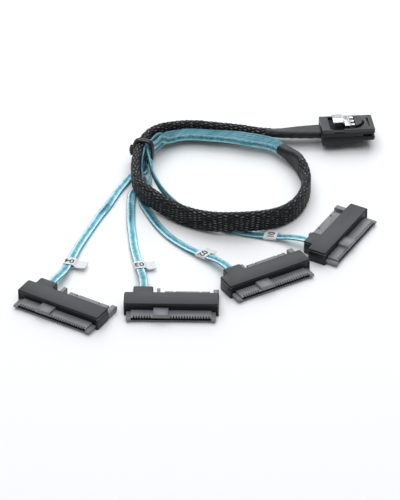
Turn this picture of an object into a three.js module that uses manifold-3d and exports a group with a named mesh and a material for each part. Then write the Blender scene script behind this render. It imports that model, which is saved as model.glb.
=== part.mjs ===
// Breakout cable: one 36-contact plug with a press latch, a flat braided sleeve in a loop,
// and four flat cable branches that end in 29-contact drive sockets with a power inlet at the rear.
// Millimetres, +Z up, laid out on a table top at z = 0.

import * as THREE from 'three';
import { mergeVertices } from 'three/addons/utils/BufferGeometryUtils.js';
import Module from 'manifold-3d';

const wasm = await Module();
wasm.setup();

// Driving dimensions

const SEAT_GAP = 0.3; // clearance between a piece and the one that it seats on
const CUT_OVER = 1; // how far a cut runs past the face that it opens

// Cover of a drive connector, seen from its mating side: X to the right, Y to the rear
const COVER = { width: 44.6, depth: 9.6, height: 7.1, side: 1.0, floor: 0.6, roof: 1.0, back: 1.0 };
const COVER_CORNER = { rear: 1.0, front: 0.7 };
const COVER_BEVEL = 0.45;
const HUMP = { fromEnd: 4.2, width: 9.4, length: 4.6 };

// Socket that takes the drive
const SOCKET = { width: 42.0, reach: 5.3, stripHeight: 2.25, keyRise: 1.45, earHeight: 1.3 };
const SOCKET_EAR = { width: 2.2, reach: 5.7, chamfer: 0.5 };
const SOCKET_KEY = { offset: -4.75, width: 6.9 };
const SOCKET_FLANGE = { inset: 2.2, thickness: 1.2 };
const SOCKET_TAIL = { width: 38.0, length: 1.6, height: 3.2 };
const SLOT = { width: 37.6, height: 1.3, wall: 0.45, depth: 5.9 };
const CONTACT_PITCH = 1.27;
const CHANNEL = { width: 0.62, length: 1.4, footLength: 0.5 };
const SIGNAL_CONTACTS = { count: 7, centre: -13.6 };
const POWER_CONTACTS = { count: 15, centre: 8.9 };

// Power inlet at the rear
const INLET = { width: 29.3, endInset: 0.1, plate: 0.8, plateHeight: 3.4 };
const INLET_CORE = { height: 3.2, length: 4.0 };
const INLET_POST = { reach: 7.6, narrow: 1.6, wide: 2.6, lowRise: 2.95 };
const TONGUE = { inset: 3.8, width: 21.3, reach: 7.3, thickness: 1.3, bottom: 1.0, chamfer: 0.35 };
const TONGUE_GROOVE = { width: 0.7, depth: 0.25, length: 4.6 };
const TONGUE_NOTCH = { width: 1.1, depth: 0.5, length: 1.6, spread: 12.4 };
const TONGUE_KEY = { width: 1.0, drop: 0.6 };

// Solder board inside the cover
const BOARD = { width: 37.0, thickness: 0.8, notch: 1.5 };

// Flat branch cable, its channel in the hump and its paper flag
const RIBBON = { width: 4.2, thickness: 1.1 };
const RIBBON_ENTRY_HEIGHT = 4.75;
const RIBBON_HOLD = 5.2;
const FLAG = { length: 6.5, paper: 0.3, tailPaper: 0.4 };

// Plug that goes into the controller: X forward from its rear face, Y to its far side
const PLUG = { length: 26.8, width: 20.8, height: 8.0, chamfer: 1.5, split: 4.5, corner: 1.8 };
const PLUG_STEP = { first: 11.0, firstRise: 1.0, second: 20.6, secondRise: 2.3, lipRadius: 0.7 };
const CARD = { width: 16.8, thickness: 0.8, rear: 9.0, setback: 0.6 };
const LATCH_BAY = { rear: 4.2, halfWidth: 7.7, floor: 6.5, centre: 14.6 };
const BAY_NOTCH = { rear: 5.4, length: 5.6, barBottom: 7.0, barTop: 7.3 };
const BOSS = { halfWidth: 6.7, centre: 14.6, rise: 1.05, ledgeRear: 14.2, ledgeEnd: 17.3, ledgeHeight: 8.15 };
const HOOK_SLOT = { x: 24.2, width: 0.8, length: 10.4, depth: 1.2 };
const WIRE_BLOCK = { length: 7.6, width: 16.4, bottom: 1.5, top: 5.3, slotDepth: 3 };

// Sheet-metal latch with a thumb pad
const LATCH = { sheet: 0.5, plateWidth: 11.6, padWidth: 9.8, plateRear: 11.9, padFront: 10.9, padRear: 6.0 };
const LATCH_RISE = { plate: 0.55, pad: 2.1 };
const PRONG = { width: 2.2, spread: 4.3, drop: 0.95 };
const LATCH_WING = { length: 1.8, drop: 1.1 };

// Sleeve, shrink tubes and tie
const SLEEVE = { width: 10.4, thickness: 3.6 };
const BUNDLE_PITCH = RIBBON.thickness + SEAT_GAP;
const TIE = { wire: 1.5, length: 1.8, bevel: 0.35, corner: 1.0, knotRadius: 1.5, knotLength: 2.6 };
const TIE_AT = { x: -29.9, y: 76.5, z: 7.4, turn: 0.26 };

// Where the pieces lie: from the layout's own origin to the middle of the connectors
const LAYOUT_SHIFT = new THREE.Vector3(-0.69, -20.13, 0);
const HEADS = [
  { number: 4, x: -66.7, y: -53.6, turn: -30.6 },
  { number: 3, x: -13.5, y: -53.6, turn: -1.0 },
  { number: 2, x: 33.5, y: -28.8, turn: 30.3 },
  { number: 1, x: 71.15, y: 6.0, turn: 60.0 },
];
const PLUG_PLACE = { x: 61.75, y: 96.4, z: 2.0, turn: 4.1, roll: -9.2 };

// Routes: x, y, z of the middle and the lean of its width in degrees, 0 flat and -90 on edge
const PLUG_SHRINK_ROUTE = [
  [61.3, 96.36, 6.0, -9], [57.0, 96.05, 5.95, -11], [52.5, 95.75, 5.9, -16], [48.0, 95.55, 5.8, -22],
  [43.5, 95.5, 5.6, -29], [39.5, 95.75, 5.4, -34], [36.0, 96.25, 5.3, -36],
];
const SLEEVE_ROUTE = [
  [35.5, 96.34, 5.3, -36], [31.0, 97.05, 5.3, -37], [26.5, 98.2, 5.3, -41], [20.0, 98.7, 5.3, -50],
  [13.0, 98.6, 5.35, -62], [6.0, 98.6, 5.4, -75], [-1.0, 98.9, 5.45, -85], [-7.5, 98.6, 5.5, -90],
  [-14.0, 97.0, 5.8, -90], [-20.3, 93.9, 6.4, -90], [-25.0, 89.0, 7.0, -90], [-28.2, 82.5, 7.35, -90],
  [-29.9, 76.5, 7.4, -90], [-31.3, 70.0, 7.5, -90], [-32.2, 62.0, 7.5, -90], [-32.2, 54.0, 7.4, -90],
  [-30.8, 46.5, 7.3, -90], [-27.6, 39.5, 7.3, -90], [-22.3, 32.8, 7.1, -90], [-15.5, 26.7, 6.3, -90],
  [-8.0, 21.2, 5.8, -90], [0.5, 16.6, 6.2, -90], [9.0, 13.6, 7.1, -90], [17.5, 13.2, 7.4, -90],
  [26.0, 14.5, 7.0, -90], [34.0, 17.6, 6.0, -90], [41.5, 22.3, 5.5, -90], [47.6, 29.6, 5.4, -90],
  [51.5, 39.5, 5.4, -90], [53.0, 49.5, 5.4, -90], [52.4, 58.0, 5.5, -90], [50.8, 64.8, 5.6, -90],
];
const END_SHRINK_ROUTE = [
  [50.65, 65.25, 5.6, -90], [48.9, 69.7, 5.6, -90], [46.4, 74.1, 5.4, -90], [43.8, 77.8, 5.4, -90],
  [41.0, 81.0, 5.4, -90],
];
// Middle of the four ribbons side by side: x, y, z and how far they spread
const BUNDLE_RUN = [
  [40.7, 81.35, 5.4, 1.0], [38.1, 84.0, 5.5, 1.05], [34.5, 86.1, 5.7, 1.25], [30.4, 87.3, 5.9, 1.35],
  [26.0, 88.3, 6.0, 1.35], [21.0, 89.9, 6.0, 1.35], [15.5, 91.2, 6.0, 1.2], [10.0, 92.0, 6.0, 1.1],
  [4.5, 92.6, 6.0, 1.0], [-1.0, 93.4, 6.0, 1.0], [-6.5, 93.5, 6.0, 1.0], [-12.0, 92.2, 6.1, 1.0],
  [-16.9, 89.6, 6.4, 1.0],
];
const BRANCHES = {
  4: [
    [-22.4, 87.2, 4.95, -90], [-25.6, 81.6, 4.95, -90], [-27.3, 75.8, 5.05, -90], [-27.95, 71.4, 3.2, -68],
    [-27.5, 69.0, 2.1, -35], [-28.8, 66.4, 1.05, -3], [-32.5, 65.0, 0.95, 0], [-35.4, 61.8, 0.95, 0],
    [-37.5, 57.0, 0.95, 0], [-40.9, 49.5, 0.95, 0], [-43.6, 42.0, 0.95, 0], [-46.2, 34.5, 1.3, -25],
    [-49.6, 27.0, 1.2, -12], [-53.0, 18.0, 0.95, 0], [-56.6, 8.0, 1.1, 0], [-59.6, -1.5, 1.5, 0],
    [-61.6, -9.5, 1.9, 0], [-63.6, -17.0, 2.7, 0], [-65.4, -23.4, 3.7, 0], [-67.9, -28.7, 4.5, 0],
  ],
  3: [
    [-21.45, 86.15, 9.4, -90], [-24.35, 81.0, 9.5, -90], [-27.34, 75.8, 9.6, -90], [-28.2, 71.5, 8.7, -90],
    [-28.8, 68.0, 7.2, -88], [-29.1, 64.5, 5.6, -85], [-28.9, 61.0, 4.0, -75], [-27.9, 57.6, 2.3, -40],
    [-28.9, 54.2, 1.0, -3], [-31.9, 51.2, 0.95, 0], [-33.8, 46.5, 0.95, 0], [-34.2, 39.0, 0.95, 0],
    [-34.0, 30.0, 1.2, -12], [-33.8, 21.0, 1.2, -12], [-33.0, 12.0, 0.95, 0], [-32.2, 3.0, 1.1, 0],
    [-30.9, -6.0, 1.5, 0], [-29.3, -15.0, 1.9, 0], [-27.9, -23.0, 2.8, 0], [-27.0, -29.0, 3.9, 0],
    [-26.7, -34.0, 4.6, 0],
  ],
  2: [
    [-20.5, 85.1, 4.95, -90], [-23.1, 80.4, 4.95, -90], [-25.95, 75.45, 5.05, -90], [-25.75, 72.0, 4.75, -90],
    [-24.2, 68.6, 4.4, -90], [-24.1, 63.5, 3.9, -88], [-24.5, 58.0, 3.5, -85], [-25.0, 53.2, 3.0, -75],
    [-25.5, 49.5, 2.2, -40], [-26.9, 46.2, 1.05, -5], [-28.5, 42.6, 0.95, 0], [-28.0, 37.6, 0.95, 0],
    [-26.1, 32.4, 0.95, 0], [-23.6, 26.2, 0.95, 0], [-20.0, 18.4, 0.95, 0], [-15.2, 10.4, 0.95, 0],
    [-9.6, 3.6, 1.1, 0], [-3.4, -2.6, 1.5, 0], [3.0, -8.4, 2.4, 0], [8.4, -13.6, 3.6, 0],
    [12.1, -18.6, 4.5, 0],
  ],
  1: [
    [-19.6, 84.1, 9.4, -90], [-21.8, 79.8, 9.5, -90], [-26.02, 75.45, 9.6, -90], [-26.3, 71.0, 9.3, -90],
    [-25.3, 65.0, 8.7, -90], [-24.0, 57.0, 7.9, -90], [-21.5, 49.0, 6.9, -90], [-18.0, 41.5, 5.9, -90],
    [-13.8, 35.0, 5.0, -90], [-8.8, 29.3, 4.3, -90], [-3.3, 24.9, 3.6, -90], [2.0, 21.6, 3.0, -80],
    [6.8, 19.4, 2.1, -40], [11.3, 17.3, 1.0, -3], [16.0, 14.9, 0.95, 0], [20.8, 12.9, 0.95, 0],
    [26.0, 11.4, 1.0, 0], [31.5, 10.0, 1.4, 0], [36.5, 8.6, 1.9, 0], [40.8, 7.0, 2.8, 0],
    [44.6, 5.2, 3.9, 0],
  ],
};
// Each flag's place as a share of its ribbon's length, and how far its tail stands out
const FLAGS = {
  4: { at: 0.865, tail: 6.4 }, 3: { at: 0.86, tail: 5.6 }, 2: { at: 0.865, tail: 4.2 }, 1: { at: 0.875, tail: 3.8 },
};

// Finishes

const FINISH = {
  moulding: { color: 0x3a3a3c, roughness: 0.5, metalness: 0 },
  socket: { color: 0x58585c, roughness: 0.5, metalness: 0 },
  inlet: { color: 0x66666a, roughness: 0.5, metalness: 0 },
  board: { color: 0x1f5a36, roughness: 0.5, metalness: 0 },
  plug: { color: 0x2b2c2e, roughness: 0.45, metalness: 0 },
  steel: { color: 0xd8d8da, roughness: 0.25, metalness: 1 },
  ribbon: { color: 0x6fb4c8, roughness: 0.35, metalness: 0.2 },
  sleeve: { color: 0x161618, roughness: 0.8, metalness: 0 },
  shrink: { color: 0x1c1c1f, roughness: 0.45, metalness: 0 },
  paper: { color: 0xf2f2f0, roughness: 0.8, metalness: 0 },
};

const materials = Object.fromEntries(
  Object.entries(FINISH).map(([name, look]) => [name, new THREE.MeshStandardMaterial({ name, ...look })]),
);

// Solids: closed geometries that can be joined and cut

function toSolid(geometry) {
  const bare = new THREE.BufferGeometry();
  bare.setAttribute('position', geometry.getAttribute('position'));
  bare.setIndex(geometry.getIndex());
  const merged = mergeVertices(bare, 1e-4);
  const corners = new Float32Array(merged.getAttribute('position').array);
  const index = merged.getIndex().array;
  const faces = [];
  for (let i = 0; i < index.length; i += 3) {
    const [a, b, c] = index.slice(i, i + 3);
    if (a !== b && b !== c && c !== a) faces.push(a, b, c);
  }
  return new wasm.Manifold(new wasm.Mesh({ numProp: 3, vertProperties: corners, triVerts: new Uint32Array(faces) }));
}

function toGeometry(solid) {
  const mesh = solid.getMesh();
  const geometry = new THREE.BufferGeometry();
  geometry.setAttribute('position', new THREE.BufferAttribute(new Float32Array(mesh.vertProperties), 3));
  geometry.setIndex(new THREE.BufferAttribute(new Uint32Array(mesh.triVerts), 1));
  geometry.computeVertexNormals();
  return geometry;
}

function joined(solids) {
  return solids.reduce((whole, solid) => whole.add(solid));
}

function cutBy(solid, cutters) {
  return cutters.reduce((rest, cutter) => rest.subtract(cutter), solid);
}

function named(name, geometry, finish) {
  const mesh = new THREE.Mesh(geometry, materials[finish]);
  mesh.name = name;
  return mesh;
}

// A box between two values on each axis
function box(x, y, z) {
  const geometry = new THREE.BoxGeometry(x[1] - x[0], y[1] - y[0], z[1] - z[0]);
  geometry.translate((x[0] + x[1]) / 2, (y[0] + y[1]) / 2, (z[0] + z[1]) / 2);
  return toSolid(geometry);
}

function around(centre, size) {
  return [centre - size / 2, centre + size / 2];
}

// An outline whose corners are rounded by the radius given with each point
function outline(points) {
  const shape = new THREE.Shape();
  const corner = points.map(([x, y]) => new THREE.Vector2(x, y));
  points.forEach(([, , radius = 0], i) => {
    const here = corner[i];
    const before = corner[(i + corner.length - 1) % corner.length];
    const after = corner[(i + 1) % corner.length];
    const start = here.clone().add(before.clone().sub(here).setLength(radius));
    const end = here.clone().add(after.clone().sub(here).setLength(radius));
    if (i === 0) shape.moveTo(start.x, start.y);
    else shape.lineTo(start.x, start.y);
    if (radius > 0) shape.quadraticCurveTo(here.x, here.y, end.x, end.y);
  });
  shape.closePath();
  return shape;
}

const SIDE_PROFILE = new THREE.Matrix4().makeBasis(
  new THREE.Vector3(0, 1, 0), new THREE.Vector3(0, 0, 1), new THREE.Vector3(1, 0, 0),
);
const LONG_PROFILE = new THREE.Matrix4().makeBasis(
  new THREE.Vector3(1, 0, 0), new THREE.Vector3(0, 0, 1), new THREE.Vector3(0, -1, 0),
);

// A profile in Y and Z, extruded along X
function alongX(shape, x) {
  const geometry = new THREE.ExtrudeGeometry(shape, { depth: x[1] - x[0], bevelEnabled: false, curveSegments: 3 });
  geometry.applyMatrix4(SIDE_PROFILE);
  geometry.translate(x[0], 0, 0);
  return toSolid(geometry);
}

// A profile in X and Z, extruded across Y
function alongY(shape, y, curveSegments = 3) {
  const geometry = new THREE.ExtrudeGeometry(shape, { depth: y[1] - y[0], bevelEnabled: false, curveSegments });
  geometry.applyMatrix4(LONG_PROFILE);
  geometry.translate(0, y[1], 0);
  return toSolid(geometry);
}

// A plan outline, extruded upwards
function alongZ(shape, z, curveSegments = 8) {
  const geometry = new THREE.ExtrudeGeometry(shape, { depth: z[1] - z[0], bevelEnabled: false, curveSegments });
  geometry.translate(0, 0, z[0]);
  return toSolid(geometry);
}

// Sizes that follow from the cover

const ROOM = {
  halfWidth: COVER.width / 2 - COVER.side,
  floor: COVER.floor,
  ceiling: COVER.height - COVER.roof,
  rear: COVER.depth - COVER.back,
};
const HUMP_CENTRE = -COVER.width / 2 + HUMP.fromEnd + HUMP.width / 2;
const SOCKET_BOTTOM = ROOM.floor + SEAT_GAP;
const FLANGE_REAR = SOCKET_FLANGE.inset + SOCKET_FLANGE.thickness;
const TAIL_TOP = SOCKET_BOTTOM + SOCKET_TAIL.height;
const INLET_RIGHT = COVER.width / 2 - INLET.endInset;
const INLET_LEFT = INLET_RIGHT - INLET.width;
const INLET_CORE_RIGHT = ROOM.halfWidth - SEAT_GAP;
const INLET_PLATE_FRONT = COVER.depth + SEAT_GAP;
const INLET_CORE_TOP = SOCKET_BOTTOM + INLET_CORE.height;

// Cover: one moulding with a rounded top edge, open at the front, with a window for the inlet at the rear
function coverGeometry() {
  const halfWidth = COVER.width / 2;
  const humpLeft = HUMP_CENTRE - HUMP.width / 2;
  const humpRight = HUMP_CENTRE + HUMP.width / 2;
  const humpEnd = COVER.depth + HUMP.length;
  const plan = outline([
    [-halfWidth, 0, COVER_CORNER.front],
    [halfWidth, 0, COVER_CORNER.front],
    [halfWidth, COVER.depth, COVER_CORNER.rear],
    [humpRight, COVER.depth, COVER_CORNER.front],
    [humpRight, humpEnd, COVER_CORNER.rear],
    [humpLeft, humpEnd, COVER_CORNER.rear],
    [humpLeft, COVER.depth, COVER_CORNER.front],
    [-halfWidth, COVER.depth, COVER_CORNER.rear],
  ]);
  const shell = new THREE.ExtrudeGeometry(plan, {
    depth: COVER.height - 2 * COVER_BEVEL,
    bevelThickness: COVER_BEVEL,
    bevelSize: COVER_BEVEL,
    bevelOffset: -COVER_BEVEL,
    bevelSegments: 2,
    curveSegments: 3,
  });
  shell.translate(0, 0, COVER_BEVEL);
  const room = box([-ROOM.halfWidth, ROOM.halfWidth], [-CUT_OVER, ROOM.rear], [ROOM.floor, ROOM.ceiling]);
  const window = box(
    [INLET_LEFT - SEAT_GAP, ROOM.halfWidth],
    [ROOM.rear - CUT_OVER, COVER.depth + CUT_OVER],
    [ROOM.floor, INLET_CORE_TOP + SEAT_GAP],
  );
  const channel = box(
    around(HUMP_CENTRE, RIBBON.width + 2 * SEAT_GAP),
    [ROOM.rear - CUT_OVER, humpEnd + CUT_OVER],
    around(RIBBON_ENTRY_HEIGHT, RIBBON.thickness + 2 * SEAT_GAP),
  );
  return toGeometry(cutBy(toSolid(shell), [room, window, channel]));
}

// Drive socket: two contact strips with a raised key block between them, ears, a flange and a tail
function socketGeometry() {
  const halfWidth = SOCKET.width / 2;
  const stripTop = SOCKET_BOTTOM + SOCKET.stripHeight;
  const keyTop = stripTop + SOCKET.keyRise;
  const earTop = SOCKET_BOTTOM + SOCKET.earHeight;
  const strip = outline([
    [-SOCKET.reach, SOCKET_BOTTOM], [FLANGE_REAR, SOCKET_BOTTOM], [FLANGE_REAR, stripTop],
    [-SOCKET.reach, stripTop],
  ]);
  const key = outline([
    [-SOCKET.reach, SOCKET_BOTTOM], [FLANGE_REAR, SOCKET_BOTTOM], [FLANGE_REAR, keyTop],
    [-SOCKET.reach, keyTop, 0.3],
  ]);
  const ear = outline([
    [-SOCKET_EAR.reach, SOCKET_BOTTOM, SOCKET_EAR.chamfer], [FLANGE_REAR, SOCKET_BOTTOM],
    [FLANGE_REAR, earTop], [-SOCKET_EAR.reach, earTop, SOCKET_EAR.chamfer],
  ]);
  const stripEdge = halfWidth - SOCKET_EAR.width;
  const flangeTop = ROOM.ceiling - SEAT_GAP;
  const body = joined([
    alongX(strip, [-stripEdge - 0.1, stripEdge + 0.1]),
    alongX(key, around(SOCKET_KEY.offset, SOCKET_KEY.width)),
    alongX(ear, [-halfWidth, -stripEdge]),
    alongX(ear, [stripEdge, halfWidth]),
    box([-halfWidth, halfWidth], [SOCKET_FLANGE.inset, FLANGE_REAR], [SOCKET_BOTTOM, flangeTop]),
    box(around(0, SOCKET_TAIL.width), [FLANGE_REAR - 0.1, FLANGE_REAR + SOCKET_TAIL.length], [SOCKET_BOTTOM, TAIL_TOP]),
  ]);
  const slotBottom = SOCKET_BOTTOM + SLOT.wall;
  const cuts = [
    box(around(0, SLOT.width), [-SOCKET_EAR.reach - CUT_OVER, -SOCKET.reach + SLOT.depth], [slotBottom, slotBottom + SLOT.height]),
  ];
  for (const { count, centre } of [SIGNAL_CONTACTS, POWER_CONTACTS]) {
    for (let i = 0; i < count; i += 1) {
      const x = around(centre + (i - (count - 1) / 2) * CONTACT_PITCH, CHANNEL.width);
      const front = -SOCKET.reach - CUT_OVER;
      cuts.push(box(x, [front, -SOCKET.reach + CHANNEL.length], [slotBottom + SLOT.height - 0.2, stripTop + CUT_OVER]));
      cuts.push(box(x, [front, -SOCKET.reach + CHANNEL.footLength], [SOCKET_BOTTOM - CUT_OVER, slotBottom + 0.2]));
    }
  }
  return toGeometry(cutBy(body, cuts));
}

// Solder board that joins the ribbon's wires to the contacts, notched at its rear corners
function boardGeometry() {
  const half = BOARD.width / 2;
  const front = FLANGE_REAR + SEAT_GAP;
  const rear = ROOM.rear - SEAT_GAP;
  const plan = outline([
    [-half, front], [half, front], [half, rear - BOARD.notch], [half - BOARD.notch, rear - BOARD.notch],
    [half - BOARD.notch, rear], [-half + BOARD.notch, rear], [-half + BOARD.notch, rear - BOARD.notch],
    [-half, rear - BOARD.notch],
  ]);
  const bottom = Math.max(TAIL_TOP, INLET_CORE_TOP) + SEAT_GAP;
  return toGeometry(alongZ(plan, [bottom, bottom + BOARD.thickness]));
}

// Power inlet: a core in the cover's window, a rear plate, two guide posts and a contact tongue
function inletGeometry() {
  const plateRear = INLET_PLATE_FRONT + INLET.plate;
  const plateBottom = COVER.floor - 0.2;
  const plateTop = plateBottom + INLET.plateHeight;
  const postEnd = COVER.depth + INLET_POST.reach;
  const tongueEnd = COVER.depth + TONGUE.reach;
  const tongueTop = TONGUE.bottom + TONGUE.thickness;
  const tongueX = [INLET_LEFT + TONGUE.inset, INLET_LEFT + TONGUE.inset + TONGUE.width];
  const post = (top) => outline([
    [plateRear - 0.2, plateBottom], [postEnd, plateBottom, 0.4], [postEnd, top, 0.6], [plateRear - 0.2, top],
  ]);
  const tongue = outline([
    [plateRear - 0.2, TONGUE.bottom], [tongueEnd, TONGUE.bottom, TONGUE.chamfer],
    [tongueEnd, tongueTop, TONGUE.chamfer], [plateRear - 0.2, tongueTop],
  ]);
  const key = outline([
    [plateRear - 0.2, TONGUE.bottom - TONGUE_KEY.drop], [tongueEnd, TONGUE.bottom - TONGUE_KEY.drop, 0.2],
    [tongueEnd, TONGUE.bottom + 0.4], [plateRear - 0.2, TONGUE.bottom + 0.4],
  ]);
  const coreFront = INLET_PLATE_FRONT - INLET_CORE.length;
  const body = joined([
    box([INLET_LEFT, INLET_CORE_RIGHT], [coreFront, plateRear], [SOCKET_BOTTOM, INLET_CORE_TOP]),
    box([INLET_LEFT, INLET_RIGHT], [INLET_PLATE_FRONT, plateRear], [plateBottom, plateTop]),
    alongX(post(plateTop), [INLET_LEFT, INLET_LEFT + INLET_POST.narrow]),
    alongX(post(plateBottom + INLET_POST.lowRise), [INLET_RIGHT - INLET_POST.wide, INLET_RIGHT]),
    alongX(tongue, tongueX),
    alongX(key, [tongueX[1] - TONGUE_KEY.width, tongueX[1]]),
  ]);
  const centre = (tongueX[0] + tongueX[1]) / 2;
  const cuts = [-1, 1].map((side) => box(
    around(centre + side * TONGUE_NOTCH.spread / 2, TONGUE_NOTCH.width),
    [tongueEnd - TONGUE_NOTCH.length, tongueEnd + CUT_OVER],
    [tongueTop - TONGUE_NOTCH.depth, tongueTop + CUT_OVER],
  ));
  const { count } = POWER_CONTACTS;
  for (let i = 0; i < count; i += 1) {
    cuts.push(box(
      around(centre - TONGUE_KEY.width / 2 + (i - (count - 1) / 2) * CONTACT_PITCH, TONGUE_GROOVE.width),
      [plateRear + 0.6, plateRear + 0.6 + TONGUE_GROOVE.length],
      [TONGUE.bottom - TONGUE_KEY.drop - CUT_OVER, TONGUE.bottom + TONGUE_GROOVE.depth],
    ));
  }
  return toGeometry(cutBy(body, cuts));
}

function drivePlace({ x, y, turn }) {
  const place = new THREE.Group();
  place.position.set(x, y, 0);
  place.rotation.z = THREE.MathUtils.degToRad(turn);
  return place;
}

function driveConnector(head) {
  const connector = drivePlace(head);
  connector.add(
    named(`cover_${head.number}`, coverGeometry(), 'moulding'),
    named(`drive_socket_${head.number}`, socketGeometry(), 'socket'),
    named(`solder_board_${head.number}`, boardGeometry(), 'board'),
    named(`power_inlet_${head.number}`, inletGeometry(), 'inlet'),
  );
  return connector;
}

// Plug

const PLUG_PLAN = outline([
  [0, -PLUG.width / 2, 0.5], [PLUG.length, -PLUG.width / 2, PLUG.corner],
  [PLUG.length, PLUG.width / 2, PLUG.corner], [0, PLUG.width / 2, 0.5],
]);
const BASE_TOP = PLUG.split - SEAT_GAP / 2;
const LID_BOTTOM = PLUG.split + SEAT_GAP / 2;
const CARD_TOP = LID_BOTTOM + CARD.thickness;
const MOUTH_TOP = CARD_TOP + SEAT_GAP;
const LATCH_PLATE_BOTTOM = PLUG.height + LATCH_RISE.plate;
const PRONG_TIP = BOSS.ledgeEnd - SEAT_GAP;

function wireRoom(z) {
  return box([-CUT_OVER, WIRE_BLOCK.length + 3 * SEAT_GAP], around(0, WIRE_BLOCK.width + 2 * SEAT_GAP), z);
}

// Lower shell: a stepped long profile that ends in the lower lip of the mouth
function plugBaseGeometry() {
  const profile = outline([
    [0, 0, 0.4], [PLUG_STEP.first, 0], [PLUG_STEP.first, PLUG_STEP.firstRise],
    [PLUG_STEP.second, PLUG_STEP.firstRise], [PLUG_STEP.second, PLUG_STEP.secondRise],
    [PLUG.length, PLUG_STEP.secondRise, PLUG_STEP.lipRadius], [PLUG.length, BASE_TOP, PLUG_STEP.lipRadius],
    [0, BASE_TOP],
  ]);
  const body = alongY(profile, around(0, PLUG.width)).intersect(alongZ(PLUG_PLAN, [0, PLUG.height], 3));
  return toGeometry(body.subtract(wireRoom([WIRE_BLOCK.bottom - SEAT_GAP, PLUG.split + CUT_OVER])));
}

// Round-ended outline of the latch bay and of the boss in it
function roundEnded(rear, centre, radius) {
  const shape = new THREE.Shape();
  shape.moveTo(rear, -radius);
  shape.lineTo(centre, -radius);
  shape.absarc(centre, 0, radius, -Math.PI / 2, Math.PI / 2, false);
  shape.lineTo(rear, radius);
  shape.closePath();
  return shape;
}

// Upper shell: chamfered edges, a bay for the latch, a round-ended boss and a slot for the hooks
function plugLidGeometry() {
  const half = PLUG.width / 2;
  const { height, chamfer } = PLUG;
  const section = outline([
    [-half, LID_BOTTOM], [half, LID_BOTTOM], [half, height - chamfer], [half - chamfer, height],
    [-half + chamfer, height], [-half, height - chamfer],
  ]);
  const shell = alongX(section, [0, PLUG.length]).intersect(alongZ(PLUG_PLAN, [0, height + CUT_OVER], 3));
  const notchX = [BAY_NOTCH.rear, BAY_NOTCH.rear + BAY_NOTCH.length];
  const notchY = [-half - CUT_OVER, -LATCH_BAY.halfWidth + 0.5];
  const opened = cutBy(shell, [
    alongZ(roundEnded(LATCH_BAY.rear, LATCH_BAY.centre, LATCH_BAY.halfWidth), [LATCH_BAY.floor, height + CUT_OVER]),
    box(notchX, notchY, [BAY_NOTCH.barTop, height + CUT_OVER]),
    box(notchX, notchY, [LATCH_BAY.floor, BAY_NOTCH.barBottom]),
    box([PLUG_STEP.second, PLUG.length + CUT_OVER], around(0, PLUG.width + CUT_OVER), [0, MOUTH_TOP]),
    box([CARD.rear - SEAT_GAP, PLUG.length + CUT_OVER], around(0, CARD.width + 2 * SEAT_GAP), [0, MOUTH_TOP]),
    box(around(HOOK_SLOT.x, HOOK_SLOT.width), around(0, HOOK_SLOT.length), [height - HOOK_SLOT.depth, height + CUT_OVER]),
    wireRoom([PLUG.split - CUT_OVER, WIRE_BLOCK.top + SEAT_GAP]),
  ]);
  const bossPlan = roundEnded(BOSS.ledgeRear, BOSS.centre, BOSS.halfWidth);
  const boss = alongZ(bossPlan, [LATCH_BAY.floor - 0.2, height + BOSS.rise]);
  const ledge = box(
    [BOSS.ledgeRear - CUT_OVER, BOSS.ledgeEnd],
    around(0, 2 * BOSS.halfWidth + CUT_OVER),
    [BOSS.ledgeHeight, height + BOSS.rise + CUT_OVER],
  );
  const hinges = [-1, 0, 1].map((side) => box(
    [PRONG_TIP - LATCH.sheet - SEAT_GAP, PRONG_TIP + SEAT_GAP],
    around(side * PRONG.spread, PRONG.width + 2 * SEAT_GAP),
    [LATCH_PLATE_BOTTOM - PRONG.drop - SEAT_GAP, height + BOSS.rise + CUT_OVER],
  ));
  return toGeometry(cutBy(opened.add(boss.subtract(ledge)), hinges));
}

// Contact card between the lips of the mouth, with a bevelled front edge
function cardGeometry() {
  const front = PLUG.length - CARD.setback;
  const profile = outline([
    [CARD.rear, LID_BOTTOM], [front, LID_BOTTOM, 0.3], [front, CARD_TOP, 0.3], [CARD.rear, CARD_TOP],
  ]);
  return toGeometry(alongY(profile, around(0, CARD.width)));
}

// Block that grips the four ribbons where they enter the plug, two over two
function wireBlockGeometry() {
  const body = box(
    [SEAT_GAP, SEAT_GAP + WIRE_BLOCK.length], around(0, WIRE_BLOCK.width), [WIRE_BLOCK.bottom, WIRE_BLOCK.top],
  );
  const middle = (WIRE_BLOCK.bottom + WIRE_BLOCK.top) / 2;
  const slots = [];
  for (const side of [-1, 1]) {
    for (const level of [-1, 1]) {
      slots.push(box(
        [-CUT_OVER, WIRE_BLOCK.slotDepth],
        around(side * (RIBBON.width / 2 + 0.4), RIBBON.width),
        around(middle + level * 0.85, RIBBON.thickness),
      ));
    }
  }
  return toGeometry(cutBy(body, slots));
}

// Latch: one bent sheet with a thumb pad, a plate and three prongs whose tips hinge in the boss

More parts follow.
